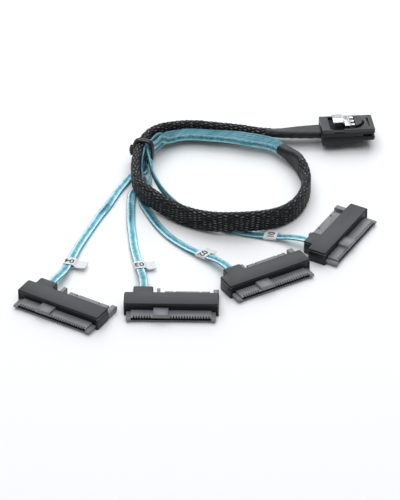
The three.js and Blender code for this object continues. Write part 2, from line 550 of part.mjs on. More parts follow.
function latchGeometry() {
  const { sheet, padRear, padFront, plateRear, plateWidth, padWidth } = LATCH;
  const low = LATCH_PLATE_BOTTOM;
  const high = PLUG.height + LATCH_RISE.pad;
  const pad = outline([
    [padRear, high - 0.5, 0.2], [padRear + sheet, high - 0.5], [padRear + sheet, high],
    [padFront, high], [plateRear, low], [plateRear + 1, low], [plateRear + 1, low + sheet],
    [plateRear + 0.3, low + sheet], [padFront + 0.3, high + sheet, 0.3], [padRear, high + sheet, 0.4],
  ]);
  const prong = outline([
    [plateRear, low], [PRONG_TIP - sheet, low], [PRONG_TIP - sheet, low - PRONG.drop, 0.1],
    [PRONG_TIP, low - PRONG.drop, 0.1], [PRONG_TIP, low + sheet, 0.3], [plateRear, low + sheet],
  ]);
  const wing = [BOSS.ledgeRear - SEAT_GAP - LATCH_WING.length, BOSS.ledgeRear - SEAT_GAP];
  const half = plateWidth / 2;
  return toGeometry(joined([
    alongY(pad, around(0, padWidth)),
    box([plateRear, BOSS.ledgeRear + 0.6], around(0, plateWidth), [low, low + sheet]),
    ...[-1, 0, 1].map((side) => alongY(prong, around(side * PRONG.spread, PRONG.width))),
    box(wing, [-half, -half + sheet], [low - LATCH_WING.drop, low + 0.1]),
    box(wing, [half - sheet, half], [low - LATCH_WING.drop, low + 0.1]),
  ]));
}

function plug() {
  const place = new THREE.Group();
  place.position.set(PLUG_PLACE.x, PLUG_PLACE.y, PLUG_PLACE.z);
  place.rotation.set(
    THREE.MathUtils.degToRad(PLUG_PLACE.roll), 0, THREE.MathUtils.degToRad(PLUG_PLACE.turn), 'ZYX',
  );
  place.add(
    named('plug_base', plugBaseGeometry(), 'plug'),
    named('plug_lid', plugLidGeometry(), 'plug'),
    named('contact_card', cardGeometry(), 'board'),
    named('wire_block', wireBlockGeometry(), 'plug'),
    named('latch', latchGeometry(), 'steel'),
  );
  return place;
}

// Cords

const UP = new THREE.Vector3(0, 0, 1);

// A smooth route along which a flat section leans, widens or narrows
class BandRoute extends THREE.CatmullRomCurve3 {
  constructor(stations, sizes) {
    super(stations.map(([x, y, z]) => new THREE.Vector3(x, y, z)), false, 'centripetal');
    this.leans = stations.map(([, , , lean]) => THREE.MathUtils.degToRad(lean));
    this.sizes = sizes;
  }

  leanAt(t) {
    const at = t * (this.leans.length - 1);
    const from = Math.min(Math.floor(at), this.leans.length - 2);
    return THREE.MathUtils.lerp(this.leans[from], this.leans[from + 1], THREE.MathUtils.smoothstep(at - from, 0, 1));
  }

  // Width direction and thickness direction at a share of the length, scaled by the section's size there
  frameAt(u) {
    const t = this.getUtoTmapping(u);
    const tangent = this.getTangentAt(u);
    const side = new THREE.Vector3().crossVectors(UP, tangent).normalize();
    const rise = new THREE.Vector3().crossVectors(tangent, side);
    const lean = this.leanAt(t);
    const across = side.clone().multiplyScalar(Math.cos(lean)).addScaledVector(rise, Math.sin(lean));
    const through = new THREE.Vector3().crossVectors(tangent, across);
    return { tangent, across, through };
  }

  computeFrenetFrames(segments) {
    const frames = { tangents: [], normals: [], binormals: [] };
    for (let i = 0; i <= segments; i += 1) {
      const u = i / segments;
      const { tangent, across, through } = this.frameAt(u);
      frames.tangents.push(tangent);
      frames.normals.push(across.multiplyScalar(THREE.MathUtils.lerp(this.sizes.start[0], this.sizes.end[0], u)));
      frames.binormals.push(through.multiplyScalar(THREE.MathUtils.lerp(this.sizes.start[1], this.sizes.end[1], u)));
    }
    return frames;
  }
}

// An eight-sided section of size one, which the route's frames scale
function bandSection(corner) {
  const near = 0.5 - corner;
  return new THREE.Shape([
    [0.5, -near], [0.5, near], [near, 0.5], [-near, 0.5], [-0.5, near], [-0.5, -near], [-near, -0.5], [near, -0.5],
  ].map(([x, y]) => new THREE.Vector2(x, y)));
}

function band(route, steps, corner) {
  const geometry = new THREE.ExtrudeGeometry(bandSection(corner), { steps, bevelEnabled: false, extrudePath: route });
  return toGeometry(toSolid(geometry));
}

const RIBBON_SIZE = [RIBBON.width, RIBBON.thickness];

// Where a ribbon enters its connector, as points in that connector's own frame
function entryPoints({ x, y, turn }) {
  const angle = THREE.MathUtils.degToRad(turn);
  const humpEnd = COVER.depth + HUMP.length;
  return [humpEnd + 1.5, humpEnd - RIBBON_HOLD / 2, humpEnd - RIBBON_HOLD].map((along) => [
    x + HUMP_CENTRE * Math.cos(angle) - along * Math.sin(angle),
    y + HUMP_CENTRE * Math.sin(angle) + along * Math.cos(angle),
    RIBBON_ENTRY_HEIGHT,
    0,
  ]);
}

// Lane of one ribbon in the bundle: 0 lies against the sleeve, 3 is the innermost
function bundleLane(lane) {
  const middle = BUNDLE_RUN.map(([x, y]) => new THREE.Vector2(x, y));
  return BUNDLE_RUN.map(([x, y, z, spread], i) => {
    const before = middle[Math.max(i - 1, 0)];
    const after = middle[Math.min(i + 1, middle.length - 1)];
    const way = after.clone().sub(before).normalize();
    const offset = (lane - 1.5) * BUNDLE_PITCH * spread;
    return [x - way.y * offset, y + way.x * offset, z, -90];
  });
}

function ribbonRoute(head) {
  const lane = 4 - head.number;
  const stations = [...bundleLane(lane), ...BRANCHES[head.number], ...entryPoints(head)];
  return new BandRoute(stations, { start: RIBBON_SIZE, end: RIBBON_SIZE });
}

// Paper flag: wrapped round the ribbon, with both ends stuck together as a tail
function flagGeometry(route, { at, tail }) {
  const { tangent, across, through } = route.frameAt(at);
  const halfWidth = RIBBON.width / 2 + SEAT_GAP;
  const halfHeight = RIBBON.thickness / 2 + SEAT_GAP;
  const { paper, tailPaper } = FLAG;
  const shape = new THREE.Shape([
    [-halfWidth - paper, -halfHeight - paper], [halfWidth + tail, -halfHeight - paper],
    [halfWidth + tail, -halfHeight - paper + tailPaper], [halfWidth + paper, -halfHeight - paper + tailPaper],
    [halfWidth + paper, halfHeight + paper], [-halfWidth - paper, halfHeight + paper],
  ].map(([x, y]) => new THREE.Vector2(x, y)));
  shape.holes.push(new THREE.Path([
    [-halfWidth, -halfHeight], [-halfWidth, halfHeight], [halfWidth, halfHeight], [halfWidth, -halfHeight],
  ].map(([x, y]) => new THREE.Vector2(x, y))));
  const geometry = new THREE.ExtrudeGeometry(shape, { depth: FLAG.length, bevelEnabled: false });
  geometry.translate(0, 0, -FLAG.length / 2);
  geometry.applyMatrix4(new THREE.Matrix4().makeBasis(across, through, tangent).setPosition(route.getPointAt(at)));
  return toGeometry(toSolid(geometry));
}

// Tie: a ring round the sleeve and the ribbons, with its twisted knot on the outer side
function tieGeometry() {
  const inner = { half: (SLEEVE.thickness + SEAT_GAP + 2 * RIBBON.thickness + SEAT_GAP) / 2 + SEAT_GAP,
    rise: SLEEVE.width / 2 + SEAT_GAP };
  const ring = (extra) => [
    [-inner.half - extra, -inner.rise - extra, TIE.corner + extra],
    [inner.half + extra, -inner.rise - extra, TIE.corner + extra],
    [inner.half + extra, inner.rise + extra, TIE.corner + extra],
    [-inner.half - extra, inner.rise + extra, TIE.corner + extra],
  ];
  const shape = outline(ring(TIE.wire - TIE.bevel));
  shape.holes.push(outline(ring(TIE.bevel)));
  const geometry = new THREE.ExtrudeGeometry(shape, {
    depth: TIE.length - 2 * TIE.bevel,
    bevelThickness: TIE.bevel,
    bevelSize: TIE.bevel,
    bevelSegments: 1,
    curveSegments: 5,
  });
  geometry.translate(0, 0, TIE.bevel - TIE.length / 2);
  const knot = new THREE.SphereGeometry(TIE.knotRadius, 12, 8);
  knot.scale(TIE.knotLength / 2 / TIE.knotRadius, 1, 1);
  knot.translate(-inner.half - TIE.wire - TIE.knotLength / 4, -1, 0);
  return toGeometry(toSolid(geometry).add(toSolid(knot)));
}

function tie() {
  const mesh = named('tie', tieGeometry(), 'shrink');
  const inward = new THREE.Vector3(Math.cos(TIE_AT.turn), -Math.sin(TIE_AT.turn), 0);
  const along = new THREE.Vector3().crossVectors(inward, UP);
  const shift = SEAT_GAP + RIBBON.thickness;
  mesh.applyMatrix4(new THREE.Matrix4().makeBasis(inward, UP, along));
  mesh.position.set(TIE_AT.x, TIE_AT.y, TIE_AT.z).addScaledVector(inward, shift);
  return mesh;
}

function cords() {
  const group = new THREE.Group();
  const sleeveSize = [SLEEVE.width, SLEEVE.thickness];
  const cuff = [SLEEVE.width + 0.5, SLEEVE.thickness + 0.4];
  const plugShrink = new BandRoute(PLUG_SHRINK_ROUTE, { start: [11.2, 3.9], end: cuff });
  const sleeve = new BandRoute(SLEEVE_ROUTE, { start: sleeveSize, end: sleeveSize });
  const endShrink = new BandRoute(END_SHRINK_ROUTE, { start: cuff, end: [5.6, 6.4] });
  group.add(
    named('plug_shrink', band(plugShrink, 10, 0.2), 'shrink'),
    named('sleeve', band(sleeve, 72, 0.18), 'sleeve'),
    named('end_shrink', band(endShrink, 8, 0.2), 'shrink'),
    tie(),
  );
  for (const head of HEADS) {
    const route = ribbonRoute(head);
    group.add(
      named(`ribbon_${head.number}`, band(route, 64, 0.16), 'ribbon'),
      named(`flag_${head.number}`, flagGeometry(route, FLAGS[head.number]), 'paper'),
    );
  }
  return group;
}

const cable = new THREE.Group();
cable.name = 'breakout_cable';
cable.position.copy(LAYOUT_SHIFT);
cable.add(...HEADS.map(driveConnector), plug(), cords());

export default cable;
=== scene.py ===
"""Looks of a breakout cable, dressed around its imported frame.

One latched plug feeds a flat braided sleeve that lies in a loop. Four flat branch cables leave the sleeve,
pass a wire tie, carry a paper flag each and end in four drive sockets with a power inlet behind each of them.
Metres, +Z up, in the frame's own axes. Sizes in the classes are millimetres, as in the part's source.
"""

import sys
import logging
import math
from dataclasses import dataclass
from enum import Enum
from typing import Callable, Iterable, Sequence

import bpy
import numpy as np
from mathutils import Matrix, Vector


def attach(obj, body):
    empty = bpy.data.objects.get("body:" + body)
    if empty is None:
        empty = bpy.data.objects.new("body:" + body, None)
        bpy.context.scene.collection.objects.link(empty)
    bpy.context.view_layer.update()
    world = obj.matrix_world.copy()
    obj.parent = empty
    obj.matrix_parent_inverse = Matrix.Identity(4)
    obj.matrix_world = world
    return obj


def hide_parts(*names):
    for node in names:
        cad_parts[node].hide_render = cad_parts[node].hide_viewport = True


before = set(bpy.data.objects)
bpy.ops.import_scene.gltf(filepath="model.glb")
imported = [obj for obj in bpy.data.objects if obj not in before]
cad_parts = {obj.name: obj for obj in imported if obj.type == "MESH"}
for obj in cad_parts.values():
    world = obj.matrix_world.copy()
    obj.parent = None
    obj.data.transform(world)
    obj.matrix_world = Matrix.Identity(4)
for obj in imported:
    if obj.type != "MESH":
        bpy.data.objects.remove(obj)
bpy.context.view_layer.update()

log = logging.getLogger("breakout_cable")

MM = 0.001
CABLE = "cable"
UP = np.array([0.0, 0.0, 1.0])
LAYOUT_SHIFT = np.array([-0.69, -20.13, 0.0])
LAY_SCALE = 1000.0
WELD_MM = 0.004
FLAT_DEGREES = 0.6
EDGE_DEGREES = 38.0

Colour = tuple[float, float, float]
Station = tuple[float, float, float, float]


# Node expressions


def arithmetic(operation: str, reflected: bool = False) -> Callable[["Term", "Term | float"], "Term"]:
    """Operator of a term, which adds a Math node.

    Args:
        operation: the node's operation.
        reflected: the term comes second, as in 1 - mask.

    Returns:
        The operator's method.
    """

    def method(term: "Term", other: "Term | float") -> "Term":
        """Result of the operation as a term."""
        values = (other, term) if reflected else (term, other)
        return term.graph.maths(operation, *values)

    return method


class Term:
    """A node output that can be added, scaled and compared like a number."""

    def __init__(self, graph: "Graph", socket: bpy.types.NodeSocket) -> None:
        """Wraps one output.

        Args:
            graph: the graph that new Math nodes go into.
            socket: the output that this term stands for.
        """
        self.graph = graph
        self.socket = socket

    __add__ = arithmetic("ADD")
    __radd__ = arithmetic("ADD", True)
    __sub__ = arithmetic("SUBTRACT")
    __rsub__ = arithmetic("SUBTRACT", True)
    __mul__ = arithmetic("MULTIPLY")
    __rmul__ = arithmetic("MULTIPLY", True)
    __truediv__ = arithmetic("DIVIDE")
    __rtruediv__ = arithmetic("DIVIDE", True)

    def absolute(self) -> "Term":
        """Size without sign."""
        return self.graph.maths("ABSOLUTE", self)

    def sine(self) -> "Term":
        """Sine of an angle in radians."""
        return self.graph.maths("SINE", self)

    def fraction(self) -> "Term":
        """Part after the decimal point."""
        return self.graph.maths("FRACT", self)

    def between(self, low: float, high: float) -> "Term":
        """0 below low, 1 above high and smooth between them.

        Args:
            low: where the rise starts.
            high: where it ends.

        Returns:
            A mask from 0 to 1.
        """
        shaped = self.graph.node(
            "ShaderNodeMapRange",
            {"interpolation_type": "SMOOTHSTEP"},
            {"Value": self, "From Min": low, "From Max": high, "To Min": 0.0, "To Max": 1.0},
        )
        return Term(self.graph, shaped.outputs["Result"])


class Graph:
    """Node graph of one material."""

    def __init__(self, name: str) -> None:
        """Starts an empty material.

        Args:
            name: the material's name.
        """
        self.material = bpy.data.materials.new(name)
        self.material.use_nodes = True
        self.tree = self.material.node_tree
        self.tree.nodes.clear()

    def node(self, kind: str, settings: dict | None = None, sockets: dict | None = None) -> bpy.types.Node:
        """Adds a node.

        Args:
            kind: the node's type.
            settings: its own properties, set first; "stops" fills a colour ramp.
            sockets: values or terms for its inputs, by name or index.

        Returns:
            The node.
        """
        made = self.tree.nodes.new(kind)
        for key, value in (settings or {}).items():
            if key == "stops":
                ramp = made.color_ramp
                while len(ramp.elements) < len(value):
                    ramp.elements.new(1.0)
                for element, (place, colour) in zip(ramp.elements, value):
                    element.position = place
                    element.color = (*colour, 1.0)
            else:
                setattr(made, key, value)
        for key, value in (sockets or {}).items():
            entry = made.inputs[key]
            if isinstance(value, Term):
                self.tree.links.new(value.socket, entry)
            elif isinstance(value, tuple) and len(value) == 3 and entry.type == "RGBA":
                entry.default_value = (*value, 1.0)
            else:
                entry.default_value = value
        return made

    def maths(self, operation: str, *values: "Term | float") -> Term:
        """Result of a Math node.

        Args:
            operation: the node's operation.
            values: its inputs in order.

        Returns:
            The node's output as a term.
        """
        made = self.node("ShaderNodeMath", {"operation": operation}, dict(enumerate(values)))
        return Term(self, made.outputs[0])

    def place(self, stretch: tuple[float, float, float] = (1.0, 1.0, 1.0)) -> Term:
        """Place on the object in millimetres, stretched per axis.

        Args:
            stretch: factor on each axis.

        Returns:
            A vector term.
        """
        where = self.node("ShaderNodeTexCoord").outputs["Object"]
        scale = tuple(factor / MM for factor in stretch)
        scaled = self.node(
            "ShaderNodeVectorMath", {"operation": "MULTIPLY"}, {0: Term(self, where), 1: scale}
        )
        return Term(self, scaled.outputs[0])

    def surface_lay(self) -> tuple[Term, Term]:
        """Run along and way across a swept piece, from its surface coordinates.

        Returns:
            Millimetres along, and the share around the section from 0 to 1.
        """
        where = self.node("ShaderNodeUVMap", {"uv_map": "lay"}).outputs["UV"]
        parts = self.node("ShaderNodeSeparateXYZ", None, {0: Term(self, where)})
        return Term(self, parts.outputs[0]) * LAY_SCALE, Term(self, parts.outputs[1])

    def vector(self, x: "Term | float", y: "Term | float", z: "Term | float" = 0.0) -> Term:
        """A vector of three numbers or terms.

        Args:
            x: first part.
            y: second part.
            z: third part.

        Returns:
            A vector term.
        """
        return Term(self, self.node("ShaderNodeCombineXYZ", None, {0: x, 1: y, 2: z}).outputs[0])

    def noise(self, where: Term, per_mm: float, detail: float = 2.0, roughness: float = 0.5) -> Term:
        """Soft noise from 0 to 1.

        Args:
            where: place in millimetres.
            per_mm: how many humps fit in a millimetre.
            detail: number of finer layers.
            roughness: strength of the finer layers.

        Returns:
            The noise as a term.
        """
        made = self.node(
            "ShaderNodeTexNoise", None,
            {"Vector": where, "Scale": per_mm, "Detail": detail, "Roughness": roughness},
        )
        return Term(self, made.outputs[0])

    def blend(self, share: "Term | float", low: "Term | Colour", high: "Term | Colour") -> Term:
        """Colour between two colours.

        Args:
            share: 0 for low, 1 for high.
            low: first colour.
            high: second colour.

        Returns:
            A colour term.
        """
        made = self.node("ShaderNodeMix", {"data_type": "RGBA"}, {0: share, 6: low, 7: high})
        return Term(self, made.outputs[2])

    def ramp(self, share: Term, stops: Sequence[tuple[float, Colour]]) -> Term:
        """Colour from a ramp.

        Args:
            share: place on the ramp.
            stops: places and their colours.

        Returns:
            A colour term.
        """
        made = self.node("ShaderNodeValToRGB", {"stops": stops}, {0: share})
        return Term(self, made.outputs[0])

    def relief(self, height: Term, depth_mm: float) -> Term:
        """Normal of a surface raised by a height from 0 to 1.

        Args:
            height: the height.
            depth_mm: what a height of 1 stands for.

        Returns:
            A normal term.
        """
        sockets = {"Strength": 1.0, "Distance": depth_mm * MM, "Height": height}
        made = self.node("ShaderNodeBump", None, sockets)
        return Term(self, made.outputs[0])

    def shade(self, **sockets: "Term | float | Colour") -> bpy.types.Material:
        """Closes the graph with a Principled shader.

        Args:
            sockets: values and terms by socket name, with _ for a space.

        Returns:
            The finished material.
        """
        named = {key.replace("_", " "): value for key, value in sockets.items()}
        shader = self.node("ShaderNodeBsdfPrincipled", None, named)
        out = self.node("ShaderNodeOutputMaterial")
        self.tree.links.new(shader.outputs[0], out.inputs[0])
        return self.material


# Finishes


@dataclass(frozen=True)
class MouldedPlastic:
    """Satin moulding with a fine spark-eroded grain."""

    name: str
    colour: Colour
    roughness: float = 0.42
    specular: float = 0.5
    grain_mm: float = 0.16
    grain_depth_mm: float = 0.012
    seam_at: float = 0.0
    seam_width: float = 0.42
    # Colour of the painted highlight just below the seam.
    seam_lip: Colour = (0.3, 0.3, 0.31)
    seam_gap: Colour = (0.002, 0.002, 0.002)

    def material(self) -> bpy.types.Material:
        """Builds the material."""
        graph = Graph(self.name)
        where = graph.place()
        grain = graph.noise(where, 1 / self.grain_mm, 3.0, 0.6)
        flow = graph.noise(graph.place((1.0, 1.0, 2.5)), 0.12, 3.0)
        handled = graph.noise(where, 0.55, 4.0, 0.65).between(0.52, 0.74)
        lighter = tuple(min(1.0, part * 1.22 + 0.004) for part in self.colour)
        darker = tuple(part * 0.86 for part in self.colour)
        base = graph.blend(flow, darker, lighter)
        base = graph.blend(handled * 0.22, base, tuple(part * 1.4 + 0.006 for part in self.colour))
        rough = self.roughness + (flow - 0.5) * 0.12 + (grain - 0.5) * 0.1 - handled * 0.05
        normal = graph.relief(grain, self.grain_depth_mm)
        if self.seam_at:
            height = Term(graph, graph.node("ShaderNodeSeparateXYZ", None, {0: where}).outputs[2])
            half, quarter = self.seam_width / 2, self.seam_width / 4
            # Painted highlight: a light band just below the parting line, as if the lower shell's edge caught
            # the light; the dark line above it is the seam's gap.
            highlight_band = 1.0 - (height - (self.seam_at - half)).absolute() / half
            base = graph.blend(highlight_band.between(0.1, 0.7) * 0.8, base, self.seam_lip)
            gap = 1.0 - (height - (self.seam_at + quarter)).absolute() / quarter
            base = graph.blend(gap.between(0.1, 0.6), base, self.seam_gap)
        return graph.shade(
            Base_Color=base,
            Roughness=rough,
            Specular_IOR_Level=self.specular,
            Normal=normal,
        )


@dataclass(frozen=True)
class SpringSteel:
    """Bright rolled strip with fine drawing lines and faint smudges."""

    name: str
    colour: Colour = (0.82, 0.82, 0.83)
    roughness: float = 0.2

    def material(self) -> bpy.types.Material:
        """Builds the material."""
        graph = Graph(self.name)
        lines = graph.noise(graph.place((0.35, 6.0, 6.0)), 1.5, 3.0, 0.6)
        smudge = graph.noise(graph.place(), 0.4, 3.0).between(0.45, 0.7)
        base = graph.blend(smudge * 0.25, self.colour, tuple(part * 0.7 for part in self.colour))
        return graph.shade(
            Base_Color=base,
            Metallic=1.0,
            Roughness=self.roughness + (lines - 0.5) * 0.14 + smudge * 0.1,
            Normal=graph.relief(lines, 0.004),
        )


@dataclass(frozen=True)
class ContactPlate:
    """Plated contact metal, worn a little where it wipes."""

    name: str
    colour: Colour
    roughness: float = 0.28

    def material(self) -> bpy.types.Material:
        """Builds the material."""
        graph = Graph(self.name)
        wear = graph.noise(graph.place(), 1.6, 3.0).between(0.4, 0.7)
        base = graph.blend(wear * 0.35, self.colour, tuple(part * 0.62 for part in self.colour))
        return graph.shade(Base_Color=base, Metallic=1.0, Roughness=self.roughness + wear * 0.16)


@dataclass(frozen=True)
class BoardLaminate:
    """Solder mask over copper tracks and a woven glass core."""

    name: str
    colour: Colour = (0.02, 0.13, 0.05)

    def material(self) -> bpy.types.Material:
        """Builds the material."""
        graph = Graph(self.name)
        where = graph.place()
        weave = graph.noise(graph.place((4.0, 1.0, 1.0)), 2.2, 2.0) * graph.noise(
            graph.place((1.0, 4.0, 1.0)), 2.2, 2.0
        )
        track = graph.noise(where, 0.5, 1.0).between(0.47, 0.53)
        base = graph.blend(track * 0.5, self.colour, tuple(part * 1.9 for part in self.colour))
        return graph.shade(
            Base_Color=base, Roughness=0.3 + weave * 0.3, Coat_Weight=0.4, Normal=graph.relief(weave, 0.02)
        )


@dataclass(frozen=True)
class BraidFilament:
    """Black monofilament bundles: each strand shows its threads with painted shade between them, a gloss that
    breaks up, and painted highlights on its crowns.
    """

    name: str
    colour: Colour = (0.007, 0.007, 0.0085)
    glint: Colour = (0.24, 0.24, 0.25)
    threads: int = 3

    def material(self) -> bpy.types.Material:
        """Builds the material."""
        graph = Graph(self.name)
        along, around = graph.surface_lay()
        thread = (around * (math.pi * self.threads * 2)).sine().absolute()
        patch = graph.noise(graph.place(), 0.5, 3.0, 0.6)
        crown = (along * (2 * math.pi) + math.pi / 2).sine().between(0.35, 0.95)
        ridge = (1.0 - (around - 0.5).absolute() * 2.0).between(0.3, 0.8)
        # Painted highlight: a light colour on the crowns where a strand passes over, standing in for the
        # lamps' highlight.
        glint = crown * ridge * patch.between(0.36, 0.66)
        # Darker between the threads: painted shade in the grooves.
        base = graph.blend(thread * 0.5, tuple(part * 0.4 for part in self.colour), self.colour)
        base = graph.blend(glint, base, self.glint)
        return graph.shade(
            Base_Color=base,
            Roughness=0.3 + patch * 0.3,
            Specular_IOR_Level=0.3,
            Normal=graph.relief(thread, 0.06),
        )


@dataclass(frozen=True)
class BraidShadow:
    """What shows through the open braid: painted shade, the cable jackets inside painted as dark as they are
    in shade.
    """

    name: str
    colour: Colour = (0.006, 0.008, 0.01)

    def material(self) -> bpy.types.Material:
        """Builds the material."""
        graph = Graph(self.name)
        mottle = graph.noise(graph.place(), 0.8, 3.0)
        base = graph.blend(mottle, self.colour, tuple(part * 2.2 for part in self.colour))
        return graph.shade(Base_Color=base, Roughness=0.65 + mottle * 0.2, Specular_IOR_Level=0.2)


@dataclass(frozen=True)
class FoilJacket:
    """Clear blue-green film over silver foil, wrapped at a slant, with painted highlight on the crown of each
    lane and painted shade in its groove and at its edges.
    """

    name: str
    light: Colour = (0.4, 0.66, 0.73)
    middle: Colour = (0.13, 0.38, 0.46)
    deep: Colour = (0.006, 0.07, 0.1)
    wrap_mm: float = 5.5

    def material(self) -> bpy.types.Material:
        """Builds the material."""
        graph = Graph(self.name)
        along, around = graph.surface_lay()
        lane = ((around * 4.0).fraction() - 0.5).absolute() * 2.0
        wrap = ((along / self.wrap_mm + around * 2.0).fraction() - 0.5).absolute() * 2.0
        seam = wrap.between(0.9, 0.98)
        crease = graph.noise(graph.vector(along * 0.55, around * 9.0), 1.0, 4.0, 0.6)
        patch = graph.noise(graph.vector(along * 0.09, around * 1.5), 1.0, 3.0)
        # Colour by place across the lane: lighter on the crown is painted highlight, darker in the groove and
        # at the edges is painted shade; the creases and patches are the foil's own wrinkles.
        shade_and_wrinkle = lane * 0.8 + (crease - 0.5) * 1.0 + (patch - 0.5) * 0.7 + seam * 0.15
        base = graph.ramp(shade_and_wrinkle, [(0.08, self.light), (0.42, self.middle), (0.95, self.deep)])
        height = (1.0 - lane) * 0.6 + crease * 0.4 + seam * 0.3
        return graph.shade(
            Base_Color=base,
            Metallic=0.62 - lane * 0.3,
            Roughness=0.36 + crease * 0.2,
            Coat_Weight=0.2,
            Coat_Roughness=0.12,
            Normal=graph.relief(height, 0.08),
        )


@dataclass(frozen=True)
class ShrinkFilm:
    """Soft black film drawn tight over what it holds."""

    name: str
    colour: Colour = (0.009, 0.009, 0.0105)
    roughness: float = 0.48
    specular: float = 0.32

    def material(self) -> bpy.types.Material:
        """Builds the material."""
        graph = Graph(self.name)
        where = graph.place()
        dimple = graph.noise(where, 0.7, 3.0, 0.6)
        fine = graph.noise(where, 5.0, 2.0)
        base = graph.blend(dimple, self.colour, tuple(part * 2.2 for part in self.colour))
        return graph.shade(
            Base_Color=base,
            Roughness=self.roughness + (dimple - 0.5) * 0.25,
            Specular_IOR_Level=self.specular,
            Normal=graph.relief(dimple * 0.8 + fine * 0.2, 0.1),
        )


@dataclass(frozen=True)
class LabelPaper:
    """Coated white label stock, a little rough and faintly shaded."""

    name: str
    colour: Colour = (0.7, 0.7, 0.71)

    def material(self) -> bpy.types.Material:
        """Builds the material."""
        graph = Graph(self.name)
        where = graph.place()
        fibre = graph.noise(where, 3.0, 4.0, 0.7)
        tone = graph.noise(where, 0.25, 2.0)
        base = graph.blend(tone * 0.6, self.colour, tuple(part * 0.93 for part in self.colour))
        return graph.shade(
            Base_Color=base, Roughness=0.55 + fibre * 0.15, Normal=graph.relief(fibre, 0.012)
        )


@dataclass(frozen=True)
class PrintInk:
    """Thermal print, not quite solid."""

    name: str
    colour: Colour = (0.02, 0.02, 0.022)

    def material(self) -> bpy.types.Material:
        """Builds the material."""
        graph = Graph(self.name)
        gap = graph.noise(graph.place(), 2.5, 3.0).between(0.6, 0.8)
        base = graph.blend(gap * 0.3, self.colour, (0.3, 0.3, 0.3))
        return graph.shade(Base_Color=base, Roughness=0.6)


@dataclass(frozen=True)
class StudioPaper:
    """White sweep that the cable lies on."""

    name: str
    colour: Colour = (0.9, 0.9, 0.9)

    def material(self) -> bpy.types.Material:
        """Builds the material."""
        graph = Graph(self.name)
        tone = graph.noise(graph.place(), 0.004, 1.0)
        base = graph.blend(tone * 0.3, self.colour, tuple(part * 0.99 for part in self.colour))
        return graph.shade(Base_Color=base, Roughness=0.9, Specular_IOR_Level=0.1)


class Finishes:
    """Every finish, built once."""

    def __init__(self) -> None:
        """Builds the materials."""
        # The cover's seam at 6.3 mm carries a painted highlight.
        self.cover = MouldedPlastic(
            "cover_plastic", (0.0085, 0.009, 0.0115), specular=0.32, seam_at=6.3
        ).material()
        self.socket = MouldedPlastic("socket_plastic", (0.19, 0.193, 0.205), roughness=0.45).material()
        self.inlet = MouldedPlastic("inlet_plastic", (0.16, 0.162, 0.172), roughness=0.45).material()
        self.plug = MouldedPlastic("plug_plastic", (0.009, 0.0095, 0.0105), specular=0.35).material()
        self.block = MouldedPlastic("block_plastic", (0.009, 0.009, 0.01), roughness=0.55).material()
        self.board = BoardLaminate("circuit_board").material()
        self.card = BoardLaminate("card_laminate", (0.02, 0.1, 0.05)).material()
        self.steel = SpringSteel("latch_metal").material()
        self.gold = ContactPlate("contact_gold", (0.86, 0.62, 0.28)).material()
        # Tin contacts painted near black: painted shade of the channels they sit in.
        self.tin = ContactPlate("contact_tin_shaded", (0.07, 0.07, 0.068)).material()
        self.strand = BraidFilament("sleeve_strand").material()
        self.shadow = BraidShadow("sleeve_core_shade").material()
        self.jacket = FoilJacket("ribbon_jacket").material()
        self.shrink = ShrinkFilm("shrink_tube").material()
        self.wire = ShrinkFilm("tie_plastic", (0.01, 0.01, 0.011), 0.35, 0.5).material()
        self.paper = LabelPaper("flag_paper").material()
        self.ink = PrintInk("flag_ink").material()
        self.floor = StudioPaper("studio_floor").material()


# Meshes


def make_piece(
    name: str,
    points: np.ndarray,
    faces: Sequence[Sequence[int]],
    finish: bpy.types.Material,
    lay: np.ndarray | None = None,
    sharp_degrees: float = 40.0,
) -> bpy.types.Object:
    """Makes a mesh object from points in millimetres.

    Args:
        name: the object's name.
        points: corners, in millimetres in the frame.
        faces: corner numbers of each face.
        finish: its material.
        lay: millimetres along and share around for each corner.
        sharp_degrees: edges that turn by more stay sharp.

    Returns:
        The object.
    """
    mesh = bpy.data.meshes.new(name)
    mesh.from_pydata((points * MM).tolist(), [], faces)
    mesh.shade_smooth()
    mesh.set_sharp_from_angle(angle=math.radians(sharp_degrees))
    if lay is not None:
        layer = mesh.uv_layers.new(name="lay")
        corners = np.zeros(len(mesh.loops), np.int32)
        mesh.loops.foreach_get("vertex_index", corners)
        spots = lay[corners] / np.array([LAY_SCALE, 1.0])
        layer.data.foreach_set("uv", spots.astype(np.float32).ravel())
    mesh.materials.append(finish)
    piece = bpy.data.objects.new(name, mesh)
    bpy.context.scene.collection.objects.link(piece)
    return piece


def ring_faces(rings: int, around: int, first: int = 0) -> list[tuple[int, ...]]:
    """Faces of a tube of rings, closed at both ends.

    Args:
        rings: number of rings.
        around: corners in each ring.
        first: number of the tube's first corner.

    Returns:
        Corner numbers of each face.
    """
    faces: list[tuple[int, ...]] = []
    for ring in range(rings - 1):
        here = first + ring * around
        for step in range(around):
            after = (step + 1) % around
            faces.append((here + step, here + after, here + around + after, here + around + step))
    faces.append(tuple(first + step for step in reversed(range(around))))
    last = first + (rings - 1) * around
    faces.append(tuple(last + step for step in range(around)))
    return faces


@dataclass
class Lay:
    """Stretch of a route: its middle, the directions of its width and thickness, and the run so far."""

    middle: np.ndarray
    across: np.ndarray
    through: np.ndarray
    run: np.ndarray

    def sweep(self, section: np.ndarray) -> np.ndarray:
        """Section carried along the stretch.

        Args:
            section: (corners, 2) for one section, or (places, corners, 2) for one at each place.

        Returns:
            (places, corners, 3) points.
        """
        shaped = np.broadcast_to(section, (len(self.middle), *section.shape[-2:]))
        return (
            self.middle[:, None]
            + self.across[:, None] * shaped[..., :1]
            + self.through[:, None] * shaped[..., 1:]
        )


